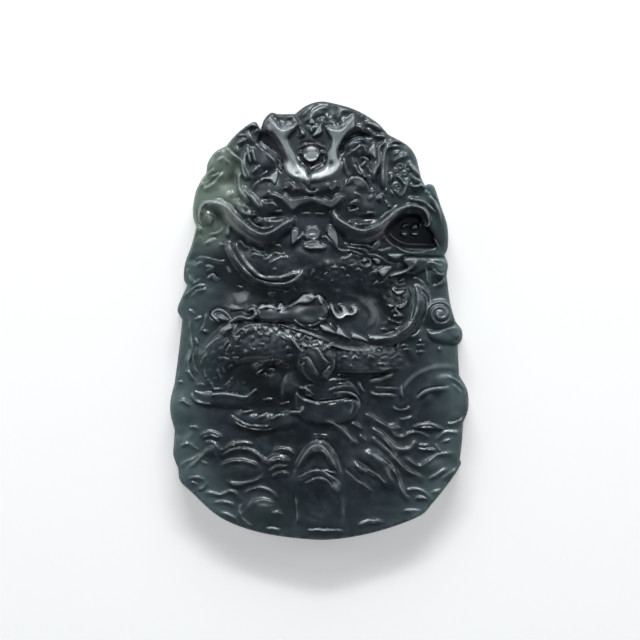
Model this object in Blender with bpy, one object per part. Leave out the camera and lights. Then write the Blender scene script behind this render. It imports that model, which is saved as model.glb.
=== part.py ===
"""Dragon plaque carved in deep relief from one piece of dark jade.

The plaque lies on its flat back in the XY plane, with the top of the carving towards +Y and the
relief towards +Z. The origin is in the middle of the back. Sizes in the carving are millimetres.
"""
import math

import bmesh
import bpy
import numpy as np
from mathutils import Vector
from mathutils.geometry import delaunay_2d_cdt

MM = 0.001

HEIGHT = 62.6
WIDTH = 42.7
GROUND = 5.0
RIM = 2.6
BACK_WALL = 0.8
BACK_EASE = 0.5
EDGE_ROUND = 1.7
EDGE_RISE = 4.2

CARVING_STEP = 0.16
POLISH = 0.14
FILLET = 0.3
POINT_SPACING = 0.36
OUTLINE_SPACING = 0.85
TRIANGLES = 9200

# Broad masses under the carving: centre, radii and height.
MASSES = [
    ((0, -1), (25, 35), 1.0),
    ((-1, 20), (12.5, 13.5), 3.6),
    ((-1, -3), (17, 12), 1.6),
    ((0, -20), (16, 13), 1.0),
]

# The outline, clockwise from the crown: each lobe runs from one notch to the next.
LOBES = [
    [(-3.5, 29.5), (-1.9, 30.7), (0.1, 31.3), (2.2, 31.0), (5.2, 30.1), (8.1, 28.4), (9.4, 27.1)],
    [(9.8, 26.6), (12.5, 25.1), (13.8, 23.4), (14.5, 20.6)],
    [(15.1, 19.3), (15.8, 19.5), (16.5, 19.0), (17.4, 16.3), (18.3, 13.6), (18.4, 10.6)],
    [(17.9, 9.3), (18.4, 8.0), (18.2, 6.4)],
    [(18.3, 5.8), (18.7, 2.6), (19.4, 0.1)],
    [(19.5, -0.2), (20.4, -1.4), (20.4, -2.7)],
    [(19.8, -3.6), (20.0, -7.6)],
    [(20.1, -8.0), (21.2, -10.1), (21.3, -12.7)],
    [(20.6, -14.6), (20.4, -17.5)],
    [(20.1, -19.9), (20.2, -20.7), (18.6, -23.2), (16.1, -26.3), (14.2, -28.1), (8.4, -30.2),
     (2.6, -31.3), (-2.1, -31.3), (-8.8, -30.3), (-14.2, -28.2), (-18.2, -24.7), (-19.9, -23.0)],
    [(-20.2, -21.2), (-20.9, -19.3), (-20.8, -17.3)],
    [(-20.7, -15.7), (-21.3, -13.4), (-21.3, -11.4)],
    [(-20.7, -8.9), (-20.1, -4.3)],
    [(-19.6, 0.1), (-20.3, 1.4), (-19.9, 2.8)],
    [(-18.9, 5.0), (-19.4, 6.0), (-19.2, 8.2), (-18.3, 10.7)],
    [(-17.6, 13.4), (-18.1, 15.2), (-17.8, 18.0), (-17.0, 19.9)],
    [(-16.2, 21.0), (-15.9, 22.7), (-14.8, 24.2)],
    [(-13.4, 24.9), (-11.9, 26.6), (-10.3, 27.9), (-9.2, 28.4)],
    [(-8.4, 27.3), (-7.9, 28.7), (-6.9, 29.7), (-5.8, 29.5)],
]


def smooth_line(points, closed=False, steps=6):
    """A smooth curve through the points, as short straight steps."""
    p = np.asarray(points, float)
    if closed:
        p = np.vstack([p[-1], p, p[0], p[1]])
    else:
        p = np.vstack([2 * p[0] - p[1], p, 2 * p[-1] - p[-2]])
    t = np.linspace(0, 1, steps, endpoint=False)[:, None]
    spans = []
    for a, b, c, d in zip(p[:-3], p[1:-2], p[2:-1], p[3:]):
        bend = (2 * a - 5 * b + 4 * c - d) * t**2 + (3 * b - a - 3 * c + d) * t**3
        spans.append(0.5 * (2 * b + (c - a) * t + bend))
    line = np.vstack(spans)
    return line if closed else np.vstack([line, p[-2]])


def along(values, share):
    """A size that changes evenly along a route, or one that stays the same."""
    if np.isscalar(values):
        return values
    return np.interp(share, np.linspace(0, 1, len(values)), values)


def nearest_on(line, x, y):
    """The distance to a line, the share of its length there, and whether the point is on its left."""
    steps = np.diff(line, axis=0)
    lengths = np.hypot(*steps.T)
    starts = np.cumsum(lengths) - lengths
    best = np.full(x.shape, np.inf)
    share = np.zeros(x.shape)
    left = np.zeros(x.shape, bool)
    for (ax, ay), (dx, dy), length, start in zip(line, steps, lengths, starts):
        t = np.clip(((x - ax) * dx + (y - ay) * dy) / length**2, 0, 1)
        across = x - ax - t * dx
        up = y - ay - t * dy
        gap = across**2 + up**2
        nearer = gap < best
        best = np.where(nearer, gap, best)
        share = np.where(nearer, (start + t * length) / lengths.sum(), share)
        left = np.where(nearer, dx * up - dy * across >= 0, left)
    return np.sqrt(best), share, left


def depth_inside(line, x, y):
    """The distance to a closed line, positive inside it."""
    ends = np.vstack([line, line[:1]])
    best = np.full(x.shape, np.inf)
    inside = np.zeros(x.shape, bool)
    for (ax, ay), (bx, by) in zip(ends[:-1], ends[1:]):
        dx, dy = bx - ax, by - ay
        t = np.clip(((x - ax) * dx + (y - ay) * dy) / (dx * dx + dy * dy), 0, 1)
        best = np.minimum(best, (x - ax - t * dx) ** 2 + (y - ay - t * dy) ** 2)
        if ay != by:
            inside ^= ((ay > y) != (by > y)) & (x < dx * (y - ay) / dy + ax)
    return np.where(inside, 1, -1) * np.sqrt(best)


def ease(q):
    """Goes smoothly from 0 to 1."""
    return q * q * (3 - 2 * q)


class Stone:
    """The face of the plaque as heights over a fine grid, which each cut or raised form changes."""

    def __init__(self, step):
        self.step = step
        self.xs = np.arange(-WIDTH / 2 - step, WIDTH / 2 + 2 * step, step)
        self.ys = np.arange(-HEIGHT / 2 - step, HEIGHT / 2 + 2 * step, step)
        self.x, self.y = np.meshgrid(self.xs, self.ys)
        self.base = np.full_like(self.x, GROUND)
        for (cx, cy), (rx, ry), height in MASSES:
            q = ((self.x - cx) / rx) ** 2 + ((self.y - cy) / ry) ** 2
            self.base += height * np.clip(1 - q, 0, 1) ** 2
        self.z = self.base.copy()

    def window(self, points, reach):
        """The part of the grid that a form can touch."""
        points = np.asarray(points)
        low, high = points.min(0) - reach, points.max(0) + reach
        columns = np.searchsorted(self.xs, [low[0], high[0]])
        rows = np.searchsorted(self.ys, [low[1], high[1]])
        return slice(*rows), slice(*columns)

    def lay(self, part, inside, height):
        """Adds a form to what is there, with a small fillet where the two meet."""
        z = self.z[part]
        near = np.clip(FILLET - np.abs(z - height), 0, None) / FILLET
        joined = np.maximum(z, height) + near * near * FILLET / 4
        self.z[part] = np.where(inside, joined, z)

    def ridge(self, route, lift, up, down, drop):
        """A body along a route: its sides fall by drop, within up on its left and down on its right."""
        line = smooth_line(route)
        part = self.window(line, max(np.max(up), np.max(down)))
        distance, share, left = nearest_on(line, self.x[part], self.y[part])
        q = np.clip(distance / np.where(left, along(up, share), along(down, share)), 0, 1)
        self.lay(part, q < 1, self.base[part] + along(lift, share) - along(drop, share) * q**2)

    def crest(self, route, height, up=0.6, down=1.4, taper=0.22):
        """Raises an edge along a route, with a cut on its left and a long soft fall on its right."""
        line = smooth_line(route)
        part = self.window(line, max(np.max(up), np.max(down)))
        distance, share, left = nearest_on(line, self.x[part], self.y[part])
        q = np.clip(distance / np.where(left, along(up, share), along(down, share)), 0, 1)
        cut = 0.5 * np.sin(np.pi * np.clip((q - 0.25) / 0.75, 0, 1)) ** 2
        shape = np.where(left, ease(np.clip(1 - q / 0.62, 0, 1)) - cut, 1 - ease(q))
        ends = np.clip(share / taper, 0, 1) * np.clip((1 - share) / taper, 0, 1)
        self.z[part] += along(height, share) * np.sqrt(ends) * shape

    def dome(self, centre, radii, lift, drop, turn=0.0, tilt=0.0):
        """An oval boss whose height falls by drop at its rim; tilt slopes its top along Y."""
        part = self.window([centre], max(radii))
        angle = math.radians(turn)
        dx = self.x[part] - centre[0]
        dy = self.y[part] - centre[1]
        u = (dx * math.cos(angle) + dy * math.sin(angle)) / radii[0]
        v = (dy * math.cos(angle) - dx * math.sin(angle)) / radii[1]
        q = np.clip(np.hypot(u, v), 0, 1)
        self.lay(part, q < 1, self.base[part] + lift + tilt * dy - drop * q**2)

    def plate(self, outline, lift, drop, edge, tilt=0.0):
        """A flat form with an eased edge; tilt slopes its face along Y."""
        line = smooth_line(outline, closed=True)
        part = self.window(line, 0)
        depth = depth_inside(line, self.x[part], self.y[part])
        q = np.clip(1 - depth / edge, 0, 1)
        face = self.base[part] + lift + tilt * (self.y[part] - line[:, 1].mean())
        self.lay(part, depth > 0, face - drop * q**2)

    def hollow(self, outline, lift, edge):
        """Cuts down to a level inside an outline, with walls that slope over edge."""
        line = smooth_line(outline, closed=True)
        part = self.window(line, 0)
        depth = depth_inside(line, self.x[part], self.y[part])
        z = self.z[part]
        floor = np.minimum(self.base[part] + lift, z)
        self.z[part] = z + (floor - z) * ease(np.clip(depth / edge, 0, 1))

    def polish(self, size):
        """Softens every edge by about the given size."""
        reach = math.ceil(2.5 * size / self.step)
        offsets = np.arange(-reach, reach + 1) * self.step
        weights = np.exp(-0.5 * (offsets / size) ** 2)
        weights /= weights.sum()
        for _ in range(2):
            rows = len(self.z)
            padded = np.pad(self.z, [(reach, reach), (0, 0)], mode="edge")
            self.z = sum(w * padded[k:k + rows] for k, w in enumerate(weights)).T

    def round_edge(self, line):
        """Rolls the face over into the rim along the outline."""
        depth = depth_inside(line, self.x, self.y)
        q = np.clip(1 - depth / EDGE_ROUND, 0, 1)
        limit = RIM + EDGE_RISE * np.sqrt(1 - q**2)
        self.z = np.where(depth < EDGE_ROUND, np.minimum(self.z, limit), self.z)

    def height_at(self, x, y):
        """The height of the face at a point, between the grid's own points."""
        column = min(max((x - self.xs[0]) / self.step, 0), len(self.xs) - 1.001)
        row = min(max((y - self.ys[0]) / self.step, 0), len(self.ys) - 1.001)
        i, j = int(row), int(column)
        v, u = row - i, column - j
        z = self.z
        low = z[i, j] * (1 - u) + z[i, j + 1] * u
        high = z[i + 1, j] * (1 - u) + z[i + 1, j + 1] * u
        return low * (1 - v) + high * v


def upper_clouds(stone):
    """Cloud ribbon at the upper left, and the scroll with its deep hollow at the upper right."""
    ribbon = [(-13.2, 24.0), (-11.6, 22.8), (-11.6, 20.6), (-12.4, 18.4), (-14.6, 17.4), (-17.4, 16.4),
              (-17.9, 17.4), (-16.8, 18.6), (-14.6, 20.0), (-13.4, 21.8)]
    stone.dome((-14.6, 22.4), (2.4, 2.8), 0.9, 0.9)
    stone.hollow(ribbon, -0.9, 1.6)
    stone.crest([(-13.8, 24.7), (-12.6, 24.0), (-11.7, 23.2), (-11.1, 22.0)], 0.6, 0.5, 1.4)
    stone.crest([(-16.9, 18.2), (-15.8, 19.1), (-14.6, 20.1), (-13.5, 21.0)], 0.5, 0.6, 1.0)
    scroll = [(11.2, 15.2), (12.6, 15.9), (14.4, 15.7), (15.2, 14.0), (16.6, 13.6), (17.0, 11.8),
              (16.4, 10.5), (14.4, 10.1), (12.0, 10.4), (10.6, 11.6), (10.4, 13.6)]
    stone.hollow(scroll, -1.9, 1.3)
    stone.crest([(14.8, 18.4), (15.8, 17.9), (16.8, 16.8), (17.5, 15.0), (17.8, 13.0), (17.5, 11.0)],
                0.9, 0.6, 1.2)
    stone.crest([(10.6, 10.9), (11.8, 10.2), (13.2, 9.9), (15.2, 10.0), (17.4, 9.9)], 0.8, 0.6, 1.0)
    for x, y in ((12.3, 13.2), (13.6, 13.2), (12.1, 12.2), (13.7, 12.3)):
        stone.dome((x, y), (0.6, 0.35), -1.1, 0.6)


def mane(stone):
    """Locks of hair on both sides of the head."""
    left_locks = [
        ([(-8.3, 27.2), (-9.0, 27.7), (-9.8, 27.4), (-9.9, 26.4), (-9.3, 25.2)], 0.7),
        ([(-11.9, 24.9), (-11.0, 25.5), (-10.2, 25.0), (-9.9, 23.6), (-9.6, 22.4), (-8.8, 21.8)], 0.8),
        ([(-11.3, 23.6), (-11.0, 22.2), (-10.5, 20.8), (-9.9, 19.4), (-9.6, 18.2)], 0.8),
        ([(-11.6, 21.0), (-11.2, 19.2), (-10.5, 17.8), (-9.8, 16.6), (-9.1, 15.8)], 0.7),
        ([(-9.8, 18.4), (-9.3, 17.2), (-8.6, 16.2), (-7.8, 15.6)], 0.8),
        ([(-12.2, 18.0), (-11.6, 16.8), (-10.8, 15.8), (-9.8, 15.2)], 0.8),
    ]
    right_locks = [
        ([(5.2, 28.6), (6.6, 28.5), (8.0, 28.0), (9.1, 27.0)], 0.6),
        ([(5.2, 27.5), (6.4, 26.8), (7.8, 26.4), (9.8, 26.0)], 0.8),
        ([(9.2, 25.6), (10.6, 25.7), (11.8, 25.3), (12.8, 24.5)], 0.6),
        ([(9.4, 25.2), (8.6, 24.4), (8.4, 23.0), (8.1, 21.6), (7.7, 20.4)], 0.9),
        ([(9.7, 24.6), (9.2, 23.2), (9.2, 21.4), (8.9, 19.8), (8.3, 18.4)], 0.9),
        ([(10.0, 22.3), (10.8, 23.0), (11.4, 23.8), (12.2, 24.2)], 0.6),
        ([(12.2, 23.8), (12.9, 22.6), (13.7, 21.4), (14.8, 20.3)], 0.7),
        ([(12.6, 20.4), (13.2, 19.4), (14.2, 19.0), (15.2, 18.2)], 0.7),
        ([(10.4, 20.9), (11.5, 20.6), (12.2, 19.6), (12.2, 18.4), (11.5, 17.5)], 0.8),
        ([(10.0, 19.6), (9.9, 18.6), (10.4, 17.4)], 0.9),
        ([(9.0, 18.2), (8.7, 17.2), (7.8, 16.6)], 0.8),
    ]
    for route, height in left_locks + right_locks:
        stone.crest(route, height, 0.55, 1.1)
    stone.dome((11.3, 19.1), (0.9, 0.9), 1.2, 1.0)


def head(stone):
    """The dragon's head from the crown to the lip, the highest part of the carving."""
    stone.dome((-1.0, 19.5), (9.4, 9.4), 1.8, 2.2)
    stone.dome((-1.0, 17.0), (6.0, 5.8), 3.3, 2.9)
    stone.dome((-0.4, 28.2), (4.2, 3.4), 2.0, 2.0)
    left_socket = [(-8.3, 26.9), (-6.6, 26.9), (-5.4, 25.4), (-4.7, 23.0), (-5.2, 21.5), (-6.2, 23.0),
                   (-7.5, 24.6), (-8.8, 25.4)]
    right_socket = [(3.0, 26.2), (4.9, 27.3), (7.2, 26.7), (6.9, 25.7), (5.4, 25.9), (4.0, 24.9),
                    (3.3, 23.0), (2.8, 24.0)]
    stone.hollow(left_socket, -0.6, 0.9)
    stone.hollow(right_socket, -0.6, 0.8)
    stone.dome((-7.2, 22.3), (1.6, 1.5), 2.5, 1.8)
    stone.dome((5.8, 21.9), (1.7, 1.5), 2.5, 1.8)
    brow_lines = [
        [(-9.1, 25.6), (-8.0, 25.1), (-7.0, 24.5), (-6.2, 23.7), (-5.6, 22.9)],
        [(-8.6, 20.5), (-7.8, 21.2), (-6.9, 21.1), (-5.8, 21.4)],
        [(3.7, 24.2), (4.3, 25.1), (5.4, 25.6), (6.5, 25.3), (7.0, 24.0)],
        [(5.9, 22.2), (6.7, 22.9), (7.3, 21.8), (7.9, 19.9)],
    ]
    for route in brow_lines:
        stone.crest(route, 0.9, 0.5, 0.9)
    for centre in ((-7.2, 18.3), (5.3, 18.4)):
        stone.dome(centre, (2.2, 2.1), 3.4, 2.4)
    for centre in ((-4.1, 18.8), (1.7, 18.8)):
        stone.dome(centre, (1.3, 1.1), 4.1, 1.4)
    stone.dome((-1.2, 18.9), (1.5, 1.3), 4.7, 1.6)


def horns(stone):
    """Two forked brow ridges that meet over the nose, with the jewel between them."""
    jewel_seat = [(-3.0, 24.2), (-2.2, 25.0), (-1.0, 25.3), (0.4, 25.0), (1.1, 24.3), (0.8, 22.9),
                  (0.0, 21.8), (-1.2, 20.8), (-2.4, 22.0), (-3.1, 23.2)]
    stone.hollow(jewel_seat, 1.2, 0.6)
    stone.dome((-1.15, 23.6), (1.3, 1.3), 3.3, 1.7, tilt=-0.4)
    left_horn = [(-7.1, 28.8), (-6.0, 28.3), (-5.1, 27.5), (-4.2, 28.0), (-3.5, 27.4), (-4.8, 25.7),
                 (-4.5, 24.6), (-3.7, 23.1), (-2.5, 21.9), (-1.6, 21.2), (-1.5, 20.2), (-2.9, 19.9),
                 (-4.2, 20.5), (-4.8, 21.7), (-5.5, 25.0), (-6.3, 26.4), (-7.2, 27.0)]
    right_horn = [(4.9, 29.0), (4.2, 28.2), (2.6, 27.5), (1.1, 27.4), (1.8, 25.4), (1.3, 24.2), (1.1, 22.6),
                  (0.1, 21.4), (-1.0, 20.8), (-1.1, 20.0), (0.1, 19.9), (1.4, 20.5), (2.5, 21.5),
                  (2.8, 22.8), (2.7, 24.4), (3.4, 26.1), (5.1, 27.3)]
    for outline in (left_horn, right_horn):
        stone.plate(outline, 3.5, 2.6, 0.6, tilt=-0.32)
    crown_lines = [
        [(-2.2, 27.9), (-1.7, 29.0), (-0.9, 29.8), (0.2, 30.1), (1.3, 29.7)],
        [(0.8, 28.6), (1.6, 28.0), (2.6, 27.8), (3.6, 28.3), (4.2, 29.5)],
        [(-8.2, 27.2), (-7.6, 28.4), (-6.8, 29.2)],
    ]
    for route in crown_lines:
        stone.crest(route, 0.8, 0.5, 1.0)
    stone.dome((-2.5, 26.7), (0.5, 0.8), 2.5, 1.0)
    stone.dome((-0.3, 26.8), (0.6, 0.9), 2.6, 1.0, turn=-30)
    stone.dome((-1.1, 28.4), (0.8, 0.6), 3.2, 1.0)


def mouth(stone):
    """The lip band, the open mouth with its teeth, and the lower jaw."""
    lip = [(-7.3, 18.0), (-6.2, 17.9), (-5.3, 17.4), (-4.6, 17.8), (-3.8, 17.4), (-1.0, 17.5), (1.4, 17.3),
           (2.9, 17.9), (3.5, 17.5), (2.9, 16.8), (1.6, 15.9), (0.7, 16.3), (-0.3, 16.8), (-1.4, 16.8),
           (-2.6, 16.3), (-3.8, 15.6), (-4.5, 16.3), (-5.4, 17.1), (-6.4, 17.6)]
    stone.plate(lip, 5.0, 1.5, 0.4, tilt=-0.2)
    stone.dome((-1.0, 12.0), (4.4, 4.8), 3.2, 2.8)
    gape = [(-4.3, 13.6), (-2.4, 13.7), (-1.0, 14.1), (0.6, 13.7), (2.7, 13.7), (3.0, 11.0), (1.5, 9.8),
            (-1.0, 9.6), (-3.4, 9.8), (-4.4, 11.2)]
    stone.hollow(gape, 1.5, 0.7)
    front_teeth = [(-2.0, 12.9), (-1.0, 13.3), (0.0, 12.9), (0.3, 12.0), (-0.3, 11.4), (-1.7, 11.4),
                   (-2.2, 12.0)]
    left_fang = [(-4.1, 13.0), (-3.3, 12.9), (-3.0, 12.0), (-3.4, 11.1), (-3.8, 10.4), (-4.1, 11.4)]
    right_fang = [(1.2, 12.4), (1.6, 13.4), (2.4, 12.8), (2.8, 11.4), (2.9, 10.2), (2.0, 11.0)]
    lower_teeth = [(-2.2, 11.2), (-1.0, 11.4), (0.5, 11.2), (0.9, 10.5), (-0.3, 10.1), (-1.6, 10.1),
                   (-2.4, 10.6)]
    for outline in (front_teeth, left_fang, right_fang, lower_teeth):
        stone.plate(outline, 3.2, 1.2, 0.4, tilt=-0.25)
    stone.dome((-0.8, 8.4), (3.6, 2.2), 2.8, 2.4)


def whiskers(stone):
    """Two long whiskers that sweep out from the nose and curl at their ends."""
    left = [(-16.7, 16.2), (-15.8, 16.8), (-14.4, 16.9), (-13.0, 16.0), (-11.8, 14.7), (-10.2, 13.3),
            (-8.2, 12.3), (-6.4, 12.9), (-4.4, 14.1)]
    stone.ridge(left, [1.8, 3.0, 4.0, 4.4, 4.2, 4.2, 4.2], 0.75, [1.0, 1.8, 2.4, 2.6, 2.4],
                [1.8, 3.0, 3.6, 3.2, 2.4])
    stone.dome((-15.6, 15.0), (1.9, 2.1), 2.2, 1.8)
    stone.crest([(-16.2, 13.0), (-17.0, 13.8), (-17.3, 14.9), (-16.8, 16.0)], 0.8, 0.6, 0.8)
    right = [(2.3, 15.1), (3.2, 13.9), (5.2, 12.8), (7.2, 12.9), (9.2, 14.3), (11.2, 15.9), (13.2, 16.5),
             (15.0, 16.0), (15.8, 14.8), (15.0, 13.6)]
    stone.ridge(right, [3.8, 4.2, 4.4, 4.4, 3.8, 3.2, 2.0], 0.75, [1.6, 2.2, 2.2, 1.4, 0.9, 0.7],
                [2.4, 3.4, 3.4, 3.0, 2.2])
    stone.crest([(8.4, 14.8), (10.0, 16.2), (11.8, 17.1), (13.8, 17.1), (15.6, 16.4), (16.8, 15.0),
                 (17.3, 13.6)], 1.0, 0.7, 1.0)
    stone.crest([(-10.3, 15.2), (-9.8, 14.1), (-8.4, 13.2), (-6.8, 13.0), (-5.4, 13.8)], 0.7, 0.5, 0.7)


def beard(stone):
    """The curved fold under the chin and the strands that run out from the jaw."""
    stone.dome((-7.2, 9.0), (5.2, 4.4), 1.6, 1.4)
    fold = [(-12.7, 11.6), (-12.4, 10.0), (-11.4, 8.3), (-9.8, 6.6), (-8.0, 5.6), (-5.8, 5.3), (-4.0, 5.8),
            (-2.6, 6.8), (-2.2, 7.6)]
    stone.ridge(fold, [1.2, 2.4, 2.9, 2.9, 2.6], 0.8, 0.9, [1.4, 2.2, 2.2])
    tufts = [
        [(-9.6, 10.9), (-8.2, 10.8), (-6.6, 10.5), (-4.6, 10.4)],
        [(-11.6, 11.2), (-10.4, 10.2), (-8.6, 9.8), (-6.8, 10.0)],
        [(-9.9, 8.9), (-8.6, 9.2), (-7.0, 9.5), (-4.6, 9.7)],
        [(3.0, 11.1), (4.8, 10.8), (6.6, 10.9), (8.7, 11.6)],
        [(2.9, 10.4), (5.0, 10.1), (7.2, 9.4), (9.0, 8.5), (11.6, 7.9)],
        [(2.8, 8.8), (4.6, 9.1), (6.2, 8.8)],
    ]
    for route in tufts:
        stone.crest(route, 0.8, 0.5, 1.0)
    horn_leaf = [(12.1, 8.7), (13.9, 8.7), (13.8, 8.0), (12.6, 7.1), (10.8, 6.5), (9.9, 6.2), (11.2, 7.3)]
    stone.plate(horn_leaf, 2.0, 1.4, 0.5, tilt=-0.2)
    for centre in ((9.2, 7.2), (8.0, 8.2), (6.5, 8.0)):
        stone.dome(centre, (1.0, 0.8), 2.6, 1.3)
    stone.crest([(14.0, 8.4), (15.8, 8.6), (18.8, 8.4)], 0.7, 0.6, 1.4)
    stone.crest([(14.4, 7.0), (16.2, 7.4), (18.6, 7.0)], 0.6, 0.6, 1.2)


def side_clouds(stone):
    """Clouds between the outline and the coils, on the left and on the right."""
    stone.dome((-15.4, 10.0), (3.6, 2.4), 0.7, 0.9)
    stone.dome((-18.6, 1.2), (2.2, 1.7), 0.9, 1.2)
    stone.dome((-14.0, 0.4), (1.2, 1.0), 1.8, 1.2)
    curls = [
        ([(-18.5, 7.8), (-17.4, 8.9), (-16.0, 8.8), (-14.6, 8.4), (-13.4, 7.8), (-12.7, 6.6)], 0.9, 1.8),
        ([(-16.7, 5.7), (-15.7, 6.6), (-14.8, 6.1), (-13.9, 5.2)], 0.9, 1.2),
        ([(-19.6, 3.2), (-18.6, 4.3), (-17.2, 4.9), (-15.4, 4.9)], 0.6, 1.4),
        ([(-17.3, 14.0), (-17.4, 12.4), (-18.0, 10.4)], 0.6, 0.9),
        ([(-15.5, 0.1), (-15.3, 1.1), (-14.4, 1.6), (-13.3, 1.2), (-12.6, 0.4)], 0.9, 0.8),
        ([(-16.1, 1.3), (-16.3, 0.0), (-16.9, -1.3), (-17.1, -2.4)], 0.7, 0.9),
        ([(-18.9, 1.4), (-18.5, -0.4), (-18.4, -2.4), (-17.8, -4.2)], 0.7, 0.8),
        ([(-17.9, -4.2), (-18.6, -5.4), (-18.6, -6.8), (-17.8, -7.9), (-17.0, -8.0)], 0.7, 0.8),
        ([(-13.2, 2.0), (-12.0, 2.1), (-10.6, 1.7)], 0.7, 1.2),
    ]
    for route, height, down in curls:
        stone.crest(route, height, 0.6, down)
    stone.ridge([(-14.2, -1.8), (-13.3, -0.8), (-12.2, 0.2), (-11.0, 0.6), (-9.7, 0.6), (-9.3, 1.3),
                 (-10.0, 1.5)], [1.4, 2.2, 2.4, 2.4, 2.2], 0.6, 1.0, 1.6)
    centre = (17.3, 0.9)
    stone.dome(centre, (2.6, 2.3), 1.0, 1.0)
    turns = [math.radians(200 - 40 * k) for k in range(21)]
    radii = [2.1 - 0.072 * k for k in range(21)]
    spiral = [(centre[0] + r * math.cos(a), centre[1] + 0.9 * r * math.sin(a)) for r, a in zip(radii, turns)]
    stone.crest(spiral, 0.5, 0.35, 0.35, taper=0.05)
    bar = [(15.5, -1.3), (17.0, -1.4), (18.4, -1.1), (20.0, -1.0), (20.9, -1.9), (20.2, -3.2),
           (18.4, -3.3), (15.6, -3.0)]
    stone.plate(bar, 1.1, 1.2, 0.7)


def coils(stone):
    """The scaled body: neck band, right loop, arch on the left and the lower coil."""
    neck = [(-1.5, 5.8), (1.5, 6.6), (4.5, 6.5), (7.6, 5.6), (10.4, 4.0), (11.4, 1.8), (10.8, -0.2),
            (8.8, -1.4)]
    stone.ridge(neck, [2.2, 3.0, 3.2, 3.2, 3.0, 2.8, 2.4], [2.2, 2.2, 2.6, 3.0, 2.6, 1.6],
                [2.0, 2.2, 2.4, 2.4, 1.6], 2.8)
    tail = [(0.8, 3.5), (2.4, 3.8), (4.2, 3.5), (5.8, 2.8), (6.9, 1.8), (7.5, 0.6), (7.3, -0.4), (6.5, -0.9)]
    stone.hollow([(1.0, 3.4), (4.0, 3.4), (6.6, 2.0), (7.0, 0.2), (5.6, -1.0), (3.2, -0.8), (1.4, 0.6)],
                 0.6, 0.9)
    stone.ridge(tail, [2.2, 2.8, 2.8, 2.6, 2.2], 0.8, 0.8, 1.6)
    arch = [(-14.4, -9.6), (-15.0, -7.4), (-14.6, -5.2), (-13.2, -3.3), (-10.8, -2.2), (-8.2, -2.2),
            (-5.6, -2.8), (-2.6, -3.8)]
    stone.ridge(arch, [1.4, 2.4, 2.8, 3.2, 3.4, 3.6, 3.4, 3.0], [2.0, 2.4, 2.6, 2.4],
                [2.0, 2.8, 3.2, 3.0], 2.8)
    lower = [(1.6, -4.6), (3.6, -5.6), (6.0, -6.0), (8.4, -6.0), (10.6, -5.2), (12.6, -3.8), (14.2, -1.8)]
    stone.ridge(lower, [2.6, 3.2, 3.4, 3.2, 2.8, 2.4, 2.0], [1.8, 2.0, 2.0, 1.6], [2.0, 2.4, 2.2, 1.6], 2.4)
    strip = [(-12.4, -2.8), (-11.0, -1.4), (-9.2, -0.5), (-7.0, -0.5), (-5.0, -0.8), (-3.0, -1.5),
             (-1.0, -2.1), (1.0, -2.7), (3.0, -3.1), (5.0, -3.4), (7.4, -3.3)]
    stone.ridge(strip, [2.2, 3.2, 3.2, 3.2, 3.2], 0.6, 1.0, 1.4)
    loop_edges = [
        ([(12.5, 5.2), (13.1, 3.6), (13.1, 2.0), (12.4, 0.3), (11.2, -0.9), (9.8, -1.3)], 0.6, 0.5, 0.6),
        ([(13.4, 5.6), (14.1, 3.8), (14.0, 1.6), (13.0, -0.3), (11.4, -1.7), (9.6, -2.3), (7.2, -2.4)],
         1.1, 0.6, 1.0),
        ([(14.2, 6.0), (15.2, 4.2), (15.4, 2.0), (14.9, -0.2), (13.4, -2.2)], 0.9, 0.7, 1.0),
        ([(1.6, -3.6), (3.4, -4.0), (6.4, -4.4), (9.2, -4.0), (10.2, -4.9)], 0.8, 0.5, 0.9),
    ]
    for route, height, up, down in loop_edges:
        stone.crest(route, height, up, down)
    for first, last in (((9.9, 4.4), (12.4, 4.4)), ((9.9, 2.1), (12.6, 2.5)), ((9.9, 0.4), (12.0, 0.5))):
        middle = ((first[0] + last[0]) / 2, (first[1] + last[1]) / 2 - 0.5)
        stone.crest([first, middle, last], 0.6, 0.5, 0.9)


def dorsal_fin(stone):
    """A row of pointed plates along the upper edge of the coil."""
    points = [(-10.8, -1.2), (-9.6, -0.9), (-8.4, -0.8), (-7.2, -0.9), (-6.0, -1.1), (-4.8, -1.5),
              (-3.6, -1.9), (-2.4, -2.4), (-1.2, -2.8)]
    for x, y in points:
        tooth = [(x - 0.45, y), (x + 0.45, y - 0.1), (x + 0.1, y - 1.0)]
        stone.plate(tooth, 3.9, 0.7, 0.3)
    long_teeth = [
        [(0.2, -0.5), (1.1, -0.9), (2.0, -1.9)],
        [(2.5, -0.8), (3.3, -1.5), (4.4, -2.6)],
        [(4.8, -1.9), (5.8, -2.2), (7.1, -3.0)],
    ]
    for route in long_teeth:
        stone.crest(route, 1.2, 0.5, 1.0, taper=0.15)


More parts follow.
